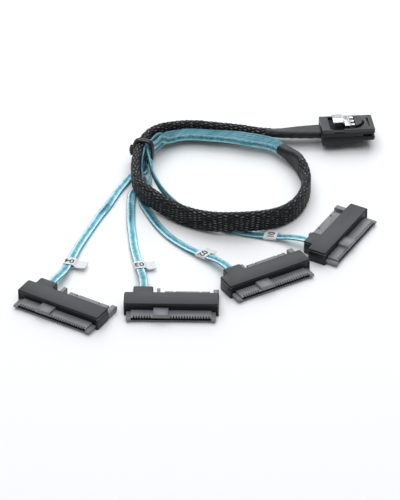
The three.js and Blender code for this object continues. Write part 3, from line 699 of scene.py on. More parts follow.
class Route:
    """Smooth line through stations, on which a flat section leans, as the frame's solids lie."""

    def __init__(self, stations: Sequence[Station]) -> None:
        """Works out the curve.

        Args:
            stations: x, y and z of the middle in millimetres and the lean of the width in degrees.
        """
        given = np.array(stations, float)
        points = given[:, :3] + LAYOUT_SHIFT
        self.leans = np.radians(given[:, 3])
        self.spans = len(points) - 1
        ends = np.vstack([2 * points[0] - points[1], points, 2 * points[-1] - points[-2]])
        before, here, there, after = ends[:-3], ends[1:-2], ends[2:-1], ends[3:]
        gap = np.sqrt(np.linalg.norm(np.diff(ends, axis=0), axis=1))[:, None]
        first, second, third = gap[:-2], gap[1:-1], gap[2:]
        leave = (here - before) / first - (there - before) / (first + second) + (there - here) / second
        reach = (there - here) / second - (after - here) / (second + third) + (after - there) / third
        leave, reach = leave * second, reach * second
        self.parts = (here, leave, 3 * (there - here) - 2 * leave - reach, 2 * (here - there) + leave + reach)
        self.fine = np.linspace(0.0, 1.0, 6001)
        steps = np.linalg.norm(np.diff(self.middle_at(self.fine), axis=0), axis=1)
        self.runs = np.concatenate([[0.0], np.cumsum(steps)])
        self.length = float(self.runs[-1])

    def span_at(self, share: np.ndarray) -> tuple[np.ndarray, np.ndarray]:
        """Number of the span at each share of the route, and the share of that span."""
        place = share * self.spans
        number = np.minimum(place.astype(int), self.spans - 1)
        return number, (place - number)[:, None]

    def middle_at(self, share: np.ndarray) -> np.ndarray:
        """Points at shares of the curve's own parameter."""
        number, part = self.span_at(share)
        start, slope, bend, twist = (term[number] for term in self.parts)
        return start + part * (slope + part * (bend + part * twist))

    def stretch(self, runs: np.ndarray) -> Lay:
        """Stretch of the route.

        Args:
            runs: places along it in millimetres.

        Returns:
            Its middle and directions there.
        """
        share = np.interp(runs, self.runs, self.fine)
        number, part = self.span_at(share)
        _, slope, bend, twist = (term[number] for term in self.parts)
        tangent = slope + part * (2 * bend + part * 3 * twist)
        tangent /= np.linalg.norm(tangent, axis=1)[:, None]
        side = np.cross(UP, tangent)
        side /= np.linalg.norm(side, axis=1)[:, None]
        rise = np.cross(tangent, side)
        eased = part * part * (3 - 2 * part)
        lean = self.leans[number][:, None] * (1 - eased) + self.leans[number + 1][:, None] * eased
        across = side * np.cos(lean) + rise * np.sin(lean)
        return Lay(self.middle_at(share), across, np.cross(tangent, across), runs)

    def path(self, step: float = 2.0) -> list[tuple[float, float, float]]:
        """Points of the route in metres, close enough together to have its length."""
        runs = np.linspace(0.0, self.length, int(self.length / step) + 2)
        return [tuple(point) for point in (self.stretch(runs).middle * MM).tolist()]


def rounded_section(
    width: float, height: float, corner: float, per_corner: int, per_side: int
) -> np.ndarray:
    """Outline of a rounded rectangle, anticlockwise from the middle of its right side.

    Args:
        width: full width.
        height: full height.
        corner: radius of the corners.
        per_corner: points on each corner.
        per_side: points between corners.

    Returns:
        (points, 2) outline.
    """
    spots: list[tuple[float, float]] = []
    half_width, half_height = width / 2 - corner, height / 2 - corner
    for quarter, (x, y) in enumerate(((1, 1), (-1, 1), (-1, -1), (1, -1))):
        for step in range(per_corner):
            angle = math.pi / 2 * (quarter + step / (per_corner - 1))
            spots.append(
                (x * half_width + corner * math.cos(angle), y * half_height + corner * math.sin(angle))
            )
        end = np.array(spots[-1])
        nx, ny = ((-1, 1), (-1, -1), (1, -1), (1, 1))[quarter]
        angle = math.pi / 2 * (quarter + 1)
        turned = (corner * math.cos(angle), corner * math.sin(angle))
        start = np.array((nx * half_width + turned[0], ny * half_height + turned[1]))
        for step in range(1, per_side + 1):
            spots.append(tuple(end + (start - end) * step / (per_side + 1)))
    return np.array(spots)


def swept_piece(
    name: str, lay: Lay, section: np.ndarray, finish: bpy.types.Material, sharp_degrees: float = 50.0
) -> bpy.types.Object:
    """Makes a tube whose surface coordinates run along and around it.

    Args:
        name: the piece's name.
        lay: the stretch that it follows.
        section: its section, or one for each place.
        finish: its material.
        sharp_degrees: edges that turn by more stay sharp.

    Returns:
        The object.
    """
    rings = lay.sweep(section)
    count, around = rings.shape[:2]
    share = np.arange(around) / around
    spots = np.stack(np.broadcast_arrays(lay.run[:, None], share[None, :]), axis=-1)
    return make_piece(
        name, rings.reshape(-1, 3), ring_faces(count, around), finish, spots.reshape(-1, 2), sharp_degrees
    )


def joined_tubes(tubes: Iterable[np.ndarray]) -> tuple[np.ndarray, list[tuple[int, ...]]]:
    """Several tubes as the points and faces of one mesh.

    Args:
        tubes: (rings, corners, 3) of each tube.

    Returns:
        All points and all faces.
    """
    points: list[np.ndarray] = []
    faces: list[tuple[int, ...]] = []
    first = 0
    for tube in tubes:
        count, around = tube.shape[:2]
        points.append(tube.reshape(-1, 3))
        faces.extend(ring_faces(count, around, first))
        first += count * around
    return np.vstack(points), faces


def plate(line: np.ndarray, axis: int, levels: Sequence[float]) -> np.ndarray:
    """Flat plate with an outline, square to an axis.

    Args:
        line: (corners, 2) outline in the two other axes.
        axis: the axis that its thickness runs along.
        levels: where it starts and ends on that axis.

    Returns:
        (2, corners, 3) points.
    """
    return np.stack([np.insert(line, axis, level, axis=1) for level in levels])


def settle(piece: bpy.types.Object, slot: str, *nodes: str) -> bpy.types.Object:
    """Lets a piece ride on the cable and stand for nodes.

    Args:
        piece: the piece.
        slot: the record's material slot; not used.
        nodes: the frame's nodes that it replaces.

    Returns:
        The piece.
    """
    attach(piece, CABLE)
    if nodes:
        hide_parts(*nodes)
    log.info("%s: %d faces", piece.name, len(piece.data.polygons))
    return piece


def soften(node: str, finish: bpy.types.Material, edge_mm: float, segments: int = 2) -> None:
    """Dresses a frame node: its finish, and edges broken as on a real moulding.

    Args:
        node: the node's name.
        finish: its material.
        edge_mm: how far the edges are rounded.
        segments: facets across an edge.
    """
    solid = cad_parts[node]
    solid.data.materials.clear()
    solid.data.materials.append(finish)
    for face in solid.data.polygons:
        face.use_smooth = True
    weld = solid.modifiers.new("weld", "WELD")
    weld.merge_threshold = WELD_MM * MM
    flat = solid.modifiers.new("flat_faces", "DECIMATE")
    flat.decimate_type = "DISSOLVE"
    flat.angle_limit = math.radians(FLAT_DEGREES)
    bevel = solid.modifiers.new("soft_edges", "BEVEL")
    bevel.width = edge_mm * MM
    bevel.segments = segments
    bevel.limit_method = "ANGLE"
    bevel.angle_limit = math.radians(EDGE_DEGREES)
    bevel.harden_normals = True
    log.info("%s: soft edges of %.2f mm", node, edge_mm)


# Camera, light and floor


@dataclass
class Studio:
    """Camera at the photograph's place, a soft overhead light and a white sweep."""

    elevation: float = 35.34
    distance_mm: float = 1349.3
    lens: float = 200.7
    sensor: float = 36.0
    lights: tuple[tuple[tuple[float, float, float], float, float], ...] = (
        ((0.0, 0.95, 0.8), 1.2, 12.0),
        ((0.0, -0.1, 1.8), 2.4, 29.0),
    )
    tint: Colour = (0.95, 0.975, 1.0)
    sky: float = 0.24
    floor_half_mm: float = 3000.0

    def make_camera(self) -> None:
        """Makes the camera and hands it to the scene."""
        data = bpy.data.cameras.new("camera")
        data.lens = self.lens
        data.sensor_width = self.sensor
        camera = bpy.data.objects.new("camera", data)
        bpy.context.scene.collection.objects.link(camera)
        tilt = math.radians(self.elevation)
        back = Vector((0.0, -math.cos(tilt), math.sin(tilt)))
        camera.location = Vector(LAYOUT_SHIFT * MM) + back * self.distance_mm * MM
        camera.rotation_mode = "QUATERNION"
        camera.rotation_quaternion = (-back).to_track_quat("-Z", "Y")
        data.clip_start = 0.1
        data.clip_end = 20.0
        bpy.context.scene.camera = camera

    def make_lights(self) -> None:
        """Makes the area lights and the pale surroundings."""
        for number, (place, size, power) in enumerate(self.lights):
            data = bpy.data.lights.new(f"softbox_{number}", "AREA")
            data.shape = "SQUARE"
            data.size = size
            data.energy = power
            data.color = self.tint
            lamp = bpy.data.objects.new(f"softbox_{number}", data)
            bpy.context.scene.collection.objects.link(lamp)
            lamp.location = place
            lamp.rotation_mode = "QUATERNION"
            lamp.rotation_quaternion = Vector(place).to_track_quat("Z", "Y")
        world = bpy.data.worlds.new("surroundings")
        world.use_nodes = True
        sky = world.node_tree.nodes["Background"]
        sky.inputs["Color"].default_value = (1.0, 1.0, 1.0, 1.0)
        sky.inputs["Strength"].default_value = self.sky
        bpy.context.scene.world = world
        bpy.context.scene.view_settings.view_transform = "Standard"

    def make_floor(self, finishes: Finishes) -> None:
        """Makes the sweep under the cable."""
        corners = np.array([(-1, -1, 0), (1, -1, 0), (1, 1, 0), (-1, 1, 0)]) * self.floor_half_mm
        make_piece("studio_floor", corners, [(0, 1, 2, 3)], finishes.floor)


# Cords


@dataclass
class BraidedSleeve:
    """Flat braided sleeve with shrink tubes on both ends."""

    width: float = 10.4
    thickness: float = 3.6
    cuff: tuple[float, float] = (10.9, 4.0)
    plug_end: tuple[float, float] = (11.2, 3.9)
    neck: tuple[float, float] = (5.6, 6.4)
    strands: int = 18
    cell_mm: float = 2.5
    strand_width: float = 0.98
    strand_height: float = 0.3
    wave: float = 0.22
    sway: float = 0.05
    strand_profile: tuple[tuple[float, float], ...] = (
        (-0.5, 0.0), (-0.3, 0.85), (0.0, 1.0), (0.3, 0.85), (0.5, 0.0),
    )
    core_inset: tuple[float, float] = (0.5, 0.4)
    core_corner: float = 1.45
    braid_inset: tuple[float, float] = (0.3, 0.2)
    braid_corner: float = 1.6
    lap: float = 1.8
    shrink_corner: float = 0.46
    ripple: float = 0.012
    tuck: float = 0.035
    plug_route: tuple[Station, ...] = (
        (61.3, 96.36, 6.0, 9), (57.0, 96.05, 5.95, 10), (52.5, 95.75, 5.9, 13), (48.0, 95.55, 5.8, 17),
        (43.5, 95.5, 5.6, 22), (39.5, 95.75, 5.4, 26), (36.0, 96.25, 5.3, 29),
    )
    route: tuple[Station, ...] = (
        (35.5, 96.34, 5.3, 29), (31.0, 97.05, 5.3, 31), (26.5, 98.2, 5.3, 36), (20.0, 98.7, 5.3, 47),
        (13.0, 98.6, 5.35, 60), (6.0, 98.6, 5.4, 74), (-1.0, 98.9, 5.45, 85), (-7.5, 98.6, 5.5, 90),
        (-14.0, 97.0, 5.8, 90), (-20.3, 93.9, 6.4, 90), (-25.0, 89.0, 7.0, 90), (-28.2, 82.5, 7.35, 90),
        (-29.9, 76.5, 7.4, 90), (-31.3, 70.0, 7.5, 90), (-32.2, 62.0, 7.5, 90), (-32.2, 54.0, 7.4, 90),
        (-30.8, 46.5, 7.3, 90), (-27.6, 39.5, 7.3, 90), (-22.3, 32.8, 7.1, 90), (-15.5, 26.7, 6.3, 90),
        (-8.0, 21.2, 5.8, 90), (0.5, 16.6, 6.2, 90), (9.0, 13.6, 7.1, 90), (17.5, 13.2, 7.4, 90),
        (26.0, 14.5, 7.0, 90), (34.0, 17.6, 6.0, 90), (41.5, 22.3, 5.5, 90), (47.6, 29.6, 5.4, 90),
        (51.5, 39.5, 5.4, 90), (53.0, 49.5, 5.4, 90), (52.4, 58.0, 5.5, 90), (50.8, 64.8, 5.6, 90),
    )
    end_route: tuple[Station, ...] = (
        (50.65, 65.25, 5.6, 90), (48.9, 69.7, 5.6, 90), (46.4, 74.1, 5.4, 90), (43.8, 77.8, 5.4, 90),
        (41.0, 81.0, 5.4, 90),
    )

    def __post_init__(self) -> None:
        """Works out the routes."""
        self.main = Route(self.route)
        self.plug_side = Route(self.plug_route)
        self.end_side = Route(self.end_route)

    def core(self, finishes: Finishes) -> bpy.types.Object:
        """Dark tube of painted shade that shows through the braid."""
        lay = self.main.stretch(np.linspace(0.0, self.main.length, 260))
        wide, thick = self.core_inset
        section = rounded_section(self.width - wide, self.thickness - thick, self.core_corner, 6, 4)
        return swept_piece("sleeve_core_shade", lay, section, finishes.shadow)

    def outline_at(self, share: np.ndarray) -> tuple[np.ndarray, np.ndarray]:
        """Places on the section's outline, and the outward directions there.

        Args:
            share: how far around, in turns.

        Returns:
            (places, 2) points and (places, 2) unit normals.
        """
        wide, thick = self.braid_inset
        line = rounded_section(self.width - wide, self.thickness - thick, self.braid_corner, 24, 40)
        closed = np.vstack([line, line[:1]])
        steps = np.linalg.norm(np.diff(closed, axis=0), axis=1)
        around = np.concatenate([[0.0], np.cumsum(steps)]) / steps.sum()
        turned = share % 1.0
        spots, ahead, behind = (
            np.stack([np.interp(place % 1.0, around, closed[:, axis]) for axis in (0, 1)], axis=-1)
            for place in (turned, turned + 0.004, turned - 0.004)
        )
        way = ahead - behind
        way /= np.linalg.norm(way, axis=1)[:, None]
        return spots, np.stack([way[:, 1], -way[:, 0]], axis=-1)

    def strand_set(self, turn: int, finishes: Finishes) -> bpy.types.Object:
        """Strands that wind one way, over one and under one of the others.

        Args:
            turn: 1 or -1, the way that they wind.
            finishes: the finishes.

        Returns:
            One mesh of all these strands.
        """
        length = self.main.length
        runs = np.linspace(0.0, length, int(length / (self.cell_mm / 6)))
        lay = self.main.stretch(runs)
        cells = runs / self.cell_mm
        rng = np.random.default_rng(11 + turn)
        tubes: list[np.ndarray] = []
        spots: list[np.ndarray] = []
        profile = np.array(self.strand_profile)
        share_across = np.linspace(0.0, 1.0, len(profile))
        for number in range(self.strands):
            start = rng.uniform(-0.06, 0.06)
            sway = start + self.sway * np.sin(runs * rng.uniform(0.05, 0.12) + rng.uniform(0, 6))
            turns = (number + sway + turn * cells / 2) / self.strands
            lift = turn * np.cos(math.pi * cells) * self.wave
            spot, outward = self.outline_at(turns)
            normal = lay.across * outward[:, :1] + lay.through * outward[:, 1:]
            ground = lay.middle + lay.across * spot[:, :1] + lay.through * spot[:, 1:]
            foot = ground + normal * lift[:, None]
            way = np.gradient(foot, axis=0)
            way /= np.linalg.norm(way, axis=1)[:, None]
            lateral = np.cross(normal, way)
            width = self.strand_width * rng.uniform(0.92, 1.06)
            tubes.append(
                foot[:, None]
                + lateral[:, None] * (profile[None, :, :1] * width)
                + normal[:, None] * (profile[None, :, 1:] * self.strand_height)
            )
            phase = cells / 2 + (0.0 if turn > 0 else 0.5)
            spots.append(np.stack(np.broadcast_arrays(phase[:, None], share_across[None, :]), axis=-1))
        points, faces = joined_tubes(tubes)
        name = "sleeve_strands_left" if turn < 0 else "sleeve_strands_right"
        spread = np.vstack([spot.reshape(-1, 2) for spot in spots])
        return make_piece(name, points, faces, finishes.strand, spread, 70.0)

    def shrink(
        self, name: str, routes: tuple[Route, Route], sizes: tuple[tuple[float, float], tuple[float, float]],
        lap_first: bool, finishes: Finishes,
    ) -> bpy.types.Object:
        """Shrink tube that laps a little over the braid.

        Args:
            name: the piece's name.
            routes: the tube's own route and the sleeve's.
            sizes: width and thickness at its start and end.
            lap_first: the lap is at the tube's start, not at its end.
            finishes: the finishes.

        Returns:
            The tube.
        """
        own, sleeve = routes
        here = own.stretch(np.linspace(0.0, own.length, 44))
        over = np.linspace(0.25, 1.0, 4) * self.lap
        there = sleeve.stretch(sleeve.length - over[::-1] if lap_first else over)
        order = (there, here) if lap_first else (here, there)
        middle = np.concatenate([part.middle for part in order])
        across = np.concatenate([part.across for part in order])
        through = np.concatenate([part.through for part in order])
        run = np.concatenate([[0.0], np.cumsum(np.linalg.norm(np.diff(middle, axis=0), axis=1))])
        both = Lay(middle, across, through, run)
        share = np.clip((both.run - (self.lap if lap_first else 0.0)) / own.length, 0.0, 1.0)
        eased = (share * share * (3 - 2 * share))[:, None, None]
        first, last = (
            rounded_section(width, height, min(width, height) * self.shrink_corner, 6, 6)
            for width, height in sizes
        )
        section = first[None] * (1 - eased) + last[None] * eased
        around = np.linspace(0, 2 * math.pi, section.shape[1], endpoint=False)
        ripple = 1 + self.ripple * np.sin(both.run[:, None] * 1.3 + 3 * np.sin(around)[None, :] * 1.7)
        ends = np.minimum(both.run, both.run[-1] - both.run)
        tuck = 1 - self.tuck * np.exp(-ends / 0.25)
        return swept_piece(name, both, section * (ripple * tuck[:, None])[..., None], finishes.shrink)

    def build(self, finishes: Finishes) -> None:
        core = settle(self.core(finishes), "sleeve_braid", "sleeve")
        others = [settle(self.strand_set(turn, finishes), "sleeve_braid") for turn in (1, -1)]
        tubes = (
            ("plug_shrink", self.plug_side, (self.plug_end, self.cuff), False),
            ("end_shrink", self.end_side, (self.cuff, self.neck), True),
        )
        for node, own, sizes, lap_first in tubes:
            tube = self.shrink(f"{node}_tube", (own, self.main), sizes, lap_first, finishes)
            others.append(settle(tube, "shrink_tube", node))
        path = self.main.path()


class Drive(Enum):
    """The four drive connectors: place and turn of each in the layout."""

    FOUR = (4, -66.7, -53.6, -30.6)
    THREE = (3, -13.5, -53.6, -1.0)
    TWO = (2, 33.5, -28.8, 30.3)
    ONE = (1, 71.15, 6.0, 60.0)

    @property
    def number(self) -> int:
        """Number of the branch."""
        return self.value[0]

    @property
    def angle(self) -> float:
        """Turn in radians."""
        return math.radians(self.value[3])

    def world(self, points: np.ndarray) -> np.ndarray:
        """Points of the connector's own frame in the layout, in millimetres."""
        _, x, y, _ = self.value
        cosine, sine = math.cos(self.angle), math.sin(self.angle)
        turn = np.array([[cosine, -sine, 0], [sine, cosine, 0], [0, 0, 1]])
        return points @ turn.T + np.array([x, y, 0.0]) + LAYOUT_SHIFT


BUNDLE_RUN = (
    (40.7, 81.35, 5.4, 1.0), (38.1, 84.0, 5.5, 1.05), (34.5, 86.1, 5.7, 1.25), (30.4, 87.3, 5.9, 1.35),
    (26.0, 88.3, 6.0, 1.35), (21.0, 89.9, 6.0, 1.35), (15.5, 91.2, 6.0, 1.2), (10.0, 92.0, 6.0, 1.1),
    (4.5, 92.6, 6.0, 1.0), (-1.0, 93.4, 6.0, 1.0), (-6.5, 93.5, 6.0, 1.0), (-12.0, 92.2, 6.1, 1.0),
    (-16.9, 89.6, 6.4, 1.0),
)
BRANCHES: dict[int, tuple[Station, ...]] = {
    4: (
        (-22.4, 87.2, 4.95, -90), (-25.6, 81.6, 4.95, -90), (-27.3, 75.8, 5.05, -90),
        (-27.95, 71.4, 3.2, -68), (-27.5, 69.0, 2.1, -35), (-28.8, 66.4, 1.05, -3),
        (-32.5, 65.0, 0.95, 0), (-35.4, 61.8, 0.95, 0), (-37.5, 57.0, 0.95, 0), (-40.9, 49.5, 0.95, 0),
        (-43.6, 42.0, 0.95, 0), (-46.2, 34.5, 1.3, -25), (-49.6, 27.0, 1.2, -12),
        (-53.0, 18.0, 0.95, 0), (-56.6, 8.0, 1.1, 0), (-59.6, -1.5, 1.5, 0), (-61.6, -9.5, 1.9, 0),
        (-63.6, -17.0, 2.7, 0), (-65.4, -23.4, 3.7, 0), (-67.9, -28.7, 4.5, 0),
    ),
    3: (
        (-21.45, 86.15, 9.4, -90), (-24.35, 81.0, 9.5, -90), (-27.34, 75.8, 9.6, -90),
        (-28.2, 71.5, 8.7, -90), (-28.8, 68.0, 7.2, -88), (-29.1, 64.5, 5.6, -85),
        (-28.9, 61.0, 4.0, -75), (-27.9, 57.6, 2.3, -40), (-28.9, 54.2, 1.0, -3),
        (-31.9, 51.2, 0.95, 0), (-33.8, 46.5, 0.95, 0), (-34.2, 39.0, 0.95, 0), (-34.0, 30.0, 1.2, -12),
        (-33.8, 21.0, 1.2, -12), (-33.0, 12.0, 0.95, 0), (-32.2, 3.0, 1.1, 0), (-30.9, -6.0, 1.5, 0),
        (-29.3, -15.0, 1.9, 0), (-27.9, -23.0, 2.8, 0), (-27.0, -29.0, 3.9, 0), (-26.7, -34.0, 4.6, 0),
    ),
    2: (
        (-20.5, 85.1, 4.95, -90), (-23.1, 80.4, 4.95, -90), (-25.95, 75.45, 5.05, -90),
        (-25.75, 72.0, 4.75, -90), (-24.2, 68.6, 4.4, -90), (-24.1, 63.5, 3.9, -88),
        (-24.5, 58.0, 3.5, -85), (-25.0, 53.2, 3.0, -75), (-25.5, 49.5, 2.2, -40),
        (-26.9, 46.2, 1.05, -5), (-28.5, 42.6, 0.95, 0), (-28.0, 37.6, 0.95, 0), (-26.1, 32.4, 0.95, 0),
        (-23.6, 26.2, 0.95, 0), (-20.0, 18.4, 0.95, 0), (-15.2, 10.4, 0.95, 0), (-9.6, 3.6, 1.1, 0),
        (-3.4, -2.6, 1.5, 0), (3.0, -8.4, 2.4, 0), (8.4, -13.6, 3.6, 0), (12.1, -18.6, 4.5, 0),
    ),
    1: (
        (-19.6, 84.1, 9.4, -90), (-21.8, 79.8, 9.5, -90), (-26.02, 75.45, 9.6, -90),
        (-26.3, 71.0, 9.3, -90), (-25.3, 65.0, 8.7, -90), (-24.0, 57.0, 7.9, -90),
        (-21.5, 49.0, 6.9, -90), (-18.0, 41.5, 5.9, -90), (-13.8, 35.0, 5.0, -90),
        (-8.8, 29.3, 4.3, -90), (-3.3, 24.9, 3.6, -90), (2.0, 21.6, 3.0, -80), (6.8, 19.4, 2.1, -40),
        (11.3, 17.3, 1.0, -3), (16.0, 14.9, 0.95, 0), (20.8, 12.9, 0.95, 0), (26.0, 11.4, 1.0, 0),
        (31.5, 10.0, 1.4, 0), (36.5, 8.6, 1.9, 0), (40.8, 7.0, 2.8, 0), (44.6, 5.2, 3.9, 0),
    ),
}


@dataclass
class FlagPlace:
    """Where a paper flag sits on its ribbon and how far its tail stands out."""

    share: float
    tail: float


@dataclass
class BranchRibbon:
    """Flat branch cable with two foil-wrapped lanes, from the sleeve's end to its drive connector."""

    drive: Drive
    flag: FlagPlace
    width: float = 4.2
    thickness: float = 1.1
    pitch: float = 1.4
    groove: float = 0.3
    entry_height: float = 4.75
    hold: float = 5.2
    hump_end: float = 14.2
    hump_centre: float = -13.4
    flag_length: float = 6.5
    paper: float = 0.16
    paper_gap: float = 0.2
    fold: float = 0.35
    curl: float = 0.012
    print_size: float = 4.7
    print_weight: float = 0.09

    def __post_init__(self) -> None:
        """Works out the route."""
        self.route = Route([*self.bundle_lane(), *BRANCHES[self.drive.number], *self.entry()])

    def bundle_lane(self) -> list[Station]:
        """Stations of this ribbon's lane in the bundle."""
        lane = 4 - self.drive.number
        middle = np.array([place[:2] for place in BUNDLE_RUN])
        stations: list[Station] = []
        for number, (x, y, z, spread) in enumerate(BUNDLE_RUN):
            way = middle[min(number + 1, len(middle) - 1)] - middle[max(number - 1, 0)]
            way = way / np.linalg.norm(way)
            offset = (lane - 1.5) * self.pitch * spread
            stations.append((x - way[1] * offset, y + way[0] * offset, z, -90))
        return stations

    def entry(self) -> list[Station]:
        """Stations inside the connector's hump."""
        _, x, y, _ = self.drive.value
        cosine, sine = math.cos(self.drive.angle), math.sin(self.drive.angle)
        return [
            (
                x + self.hump_centre * cosine - along * sine,
                y + self.hump_centre * sine + along * cosine,
                self.entry_height,
                0,
            )
            for along in (self.hump_end + 1.5, self.hump_end - self.hold / 2, self.hump_end - self.hold)
        ]

    def section(self) -> np.ndarray:
        """Outline of the two lanes side by side, with a groove between them."""
        angle = np.linspace(0, 2 * math.pi, 40, endpoint=False)
        x = np.sign(np.cos(angle)) * np.abs(np.cos(angle)) ** 0.75 * self.width / 2
        edge = np.sign(np.sin(angle)) * np.abs(np.sin(angle)) ** 0.4 * self.thickness / 2
        pinch = 1 - self.groove * np.exp(-((x / 0.34) ** 2))
        side = 1 - 0.12 * (1 - np.exp(-((np.abs(np.abs(x) - 1.05) / 0.9) ** 4)))
        return np.stack([x, edge * pinch * side], axis=-1)

    def jacket(self, finishes: Finishes) -> bpy.types.Object:
        """The ribbon itself."""
        runs = np.linspace(0.0, self.route.length, int(self.route.length / 0.9))
        name = f"ribbon_jacket_{self.drive.number}"
        return swept_piece(name, self.route.stretch(runs), self.section(), finishes.jacket, 80.0)

    def build(self, finishes: Finishes) -> None:
        number = self.drive.number
        jacket = settle(self.jacket(finishes), "ribbon_jacket", f"ribbon_{number}")
        paper = settle(self.flag_paper(finishes), "flag_paper", f"flag_{number}")
        print_mark = settle(self.flag_number(finishes), "flag_paper")
        path = self.route.path()

    def flag_frame(self) -> Lay:
        """Place and directions at the middle of the flag."""
        return self.route.stretch(np.array([self.flag.share * self.route.length]))

    def flag_paper(self, finishes: Finishes) -> bpy.types.Object:
        """Paper wrapped round the ribbon, both ends stuck together as a tail that curls a little."""
        lay = self.flag_frame()
        tangent = np.cross(lay.across[0], lay.through[0])
        low, high = (side * (self.thickness / 2 + self.paper_gap) for side in (-1, 1))
        left, right = (side * (self.width / 2 + self.paper_gap) for side in (-1, 1))
        fold = self.fold
        end = right + self.flag.tail
        upper = low + self.paper * 1.1
        tail = [(end + (right + 2.0 - end) * part, upper) for part in (0.0, 0.25, 0.5, 0.75, 1.0)]
        over = [
            (right + 1.2, upper + 0.3), (right + 0.6, high - 0.4), (right + 0.1, high - 0.06),
            (right - fold, high),
        ]
        wrap = [
            (left + fold, high), (left, high - fold), (left, low + fold), (left + fold, low), (right, low),
        ]
        under = [(right + (end - right) * part, low) for part in (0.25, 0.5, 0.75, 1.0)]
        middle = np.array(tail + over + wrap + under)
        way = np.gradient(middle, axis=0)
        way /= np.linalg.norm(way, axis=1)[:, None]
        outward = np.stack([way[:, 1], -way[:, 0]], axis=-1) * self.paper / 2
        line = np.vstack([middle - outward, (middle + outward)[::-1]])
        curl = (line[:, :1] - right).clip(0.0, None) ** 2 * self.curl
        flat = lay.middle + lay.across * line[:, :1] + lay.through * (line[:, 1:] + curl)
        steps = np.linspace(-self.flag_length / 2, self.flag_length / 2, 7)
        points, faces = joined_tubes([np.stack([flat + tangent * step for step in steps])])
        return make_piece(f"flag_paper_{self.drive.number}", points, faces, finishes.paper, None, 35.0)

    def flag_number(self, finishes: Finishes) -> bpy.types.Object:
        """The branch's number, printed on the flag."""
        lay = self.flag_frame()
        tangent = np.cross(lay.across[0], lay.through[0])
        curve = bpy.data.curves.new(f"flag_number_{self.drive.number}", "FONT")
        curve.body = f"{self.drive.number:02d}"
        curve.size = self.print_size * MM
        curve.align_x = "CENTER"
        curve.align_y = "CENTER"
        curve.extrude = 0.01 * MM
        curve.offset = self.print_weight * MM
        text = bpy.data.objects.new(curve.name, curve)
        bpy.context.scene.collection.objects.link(text)
        bpy.context.view_layer.update()
        mesh = bpy.data.meshes.new_from_object(text.evaluated_get(bpy.context.evaluated_depsgraph_get()))
        bpy.data.objects.remove(text)
        spot = (lay.middle[0] + lay.through[0] * (self.thickness / 2 + 0.24 + self.paper)) * MM
        turn = Matrix((Vector(-lay.across[0]), Vector(tangent), Vector(lay.through[0]))).transposed().to_4x4()
        mesh.transform(Matrix.Translation(Vector(spot)) @ turn)
        mesh.materials.clear()
        mesh.materials.append(finishes.ink)
        number = bpy.data.objects.new(f"flag_number_{self.drive.number}", mesh)
        bpy.context.scene.collection.objects.link(number)
        return number


@dataclass
class WireTie:
    """Soft coated wire round the sleeve and the ribbons, twisted together at the outer side."""

    at: tuple[float, float, float] = (-29.9, 76.5, 7.4)
    turn: float = 0.26
    half: float = 4.7
    rise: float = 6.2
    squareness: float = 3.5
    inward: float = 1.4
    wire: float = 0.8
    pitch: float = 0.62
    twist_length: float = 5.0
    twist_turns: float = 2.5
    twist_spread: float = 0.85
    twist_wire: float = 0.8

    def loop(self, along: float, lean: float) -> np.ndarray:
        """One turn of wire round the bundle.

        Args:
            along: its place along the bundle.
            lean: how far it climbs in its turn.

        Returns:
            Points of its middle in the tie's own frame.
        """
        share = np.linspace(0.0, 1.0, 72, endpoint=False)
        angle = share * 2 * math.pi
        rounding = 2 / self.squareness
        line = np.column_stack([
            np.sign(wave) * np.abs(wave) ** rounding * reach
            for wave, reach in ((np.cos(angle), self.half), (np.sin(angle), self.rise))
        ])
        return np.column_stack([line, along + lean * (share - 0.5)])

    def twist(self) -> list[np.ndarray]:
        """The two ends, twisted into a short tail that is folded down against the sleeve."""
        share = np.linspace(0.0, 1.0, 40)
        side = -self.half - 1.2 * self.wire
        ends = []
        for phase in (0.0, math.pi):
            angle = share * 2 * math.pi * self.twist_turns + phase
            spread = self.wire * self.twist_spread
            ends.append(
                np.column_stack([
                    side - 0.5 * np.sin(share * math.pi) + spread * np.cos(angle),
                    2.0 - share * self.twist_length,
                    spread * np.sin(angle),
                ])
            )
        return ends

    def tube(self, line: np.ndarray, radius: float, closed: bool) -> np.ndarray:
        """Round tube along a line.

        Args:
            line: its middle.
            radius: its radius.
            closed: the line's end meets its start.

        Returns:
            (rings, corners, 3) points.
        """
        if closed:
            line = np.vstack([line, line[:1]])
        way = np.gradient(line, axis=0)
        way /= np.linalg.norm(way, axis=1)[:, None]
        first = np.cross(way, np.array([0.05, 0.1, 1.0]))
        first /= np.linalg.norm(first, axis=1)[:, None]
        second = np.cross(way, first)
        angle = np.linspace(0, 2 * math.pi, 10, endpoint=False)
        return (
            line[:, None]
            + first[:, None] * np.cos(angle)[None, :, None] * radius
            + second[:, None] * np.sin(angle)[None, :, None] * radius
        )

    def build(self, finishes: Finishes) -> bpy.types.Object:
        """Builds the tie."""
        turns = (self.loop(-self.pitch, 0.3), self.loop(self.pitch, -0.25))
        tubes = [self.tube(line, self.wire, True) for line in turns]
        tubes += [self.tube(line, self.wire * self.twist_wire, False) for line in self.twist()]
        points, faces = joined_tubes(tubes)
        inward = np.array([math.cos(self.turn), -math.sin(self.turn), 0.0])
        basis = np.column_stack([inward, UP, np.cross(inward, UP)])
        centre = np.array(self.at) + inward * self.inward + LAYOUT_SHIFT
        piece = make_piece("tie_wire", points @ basis.T + centre, faces, finishes.wire, None, 60.0)
        return settle(piece, "tie_plastic", "tie")


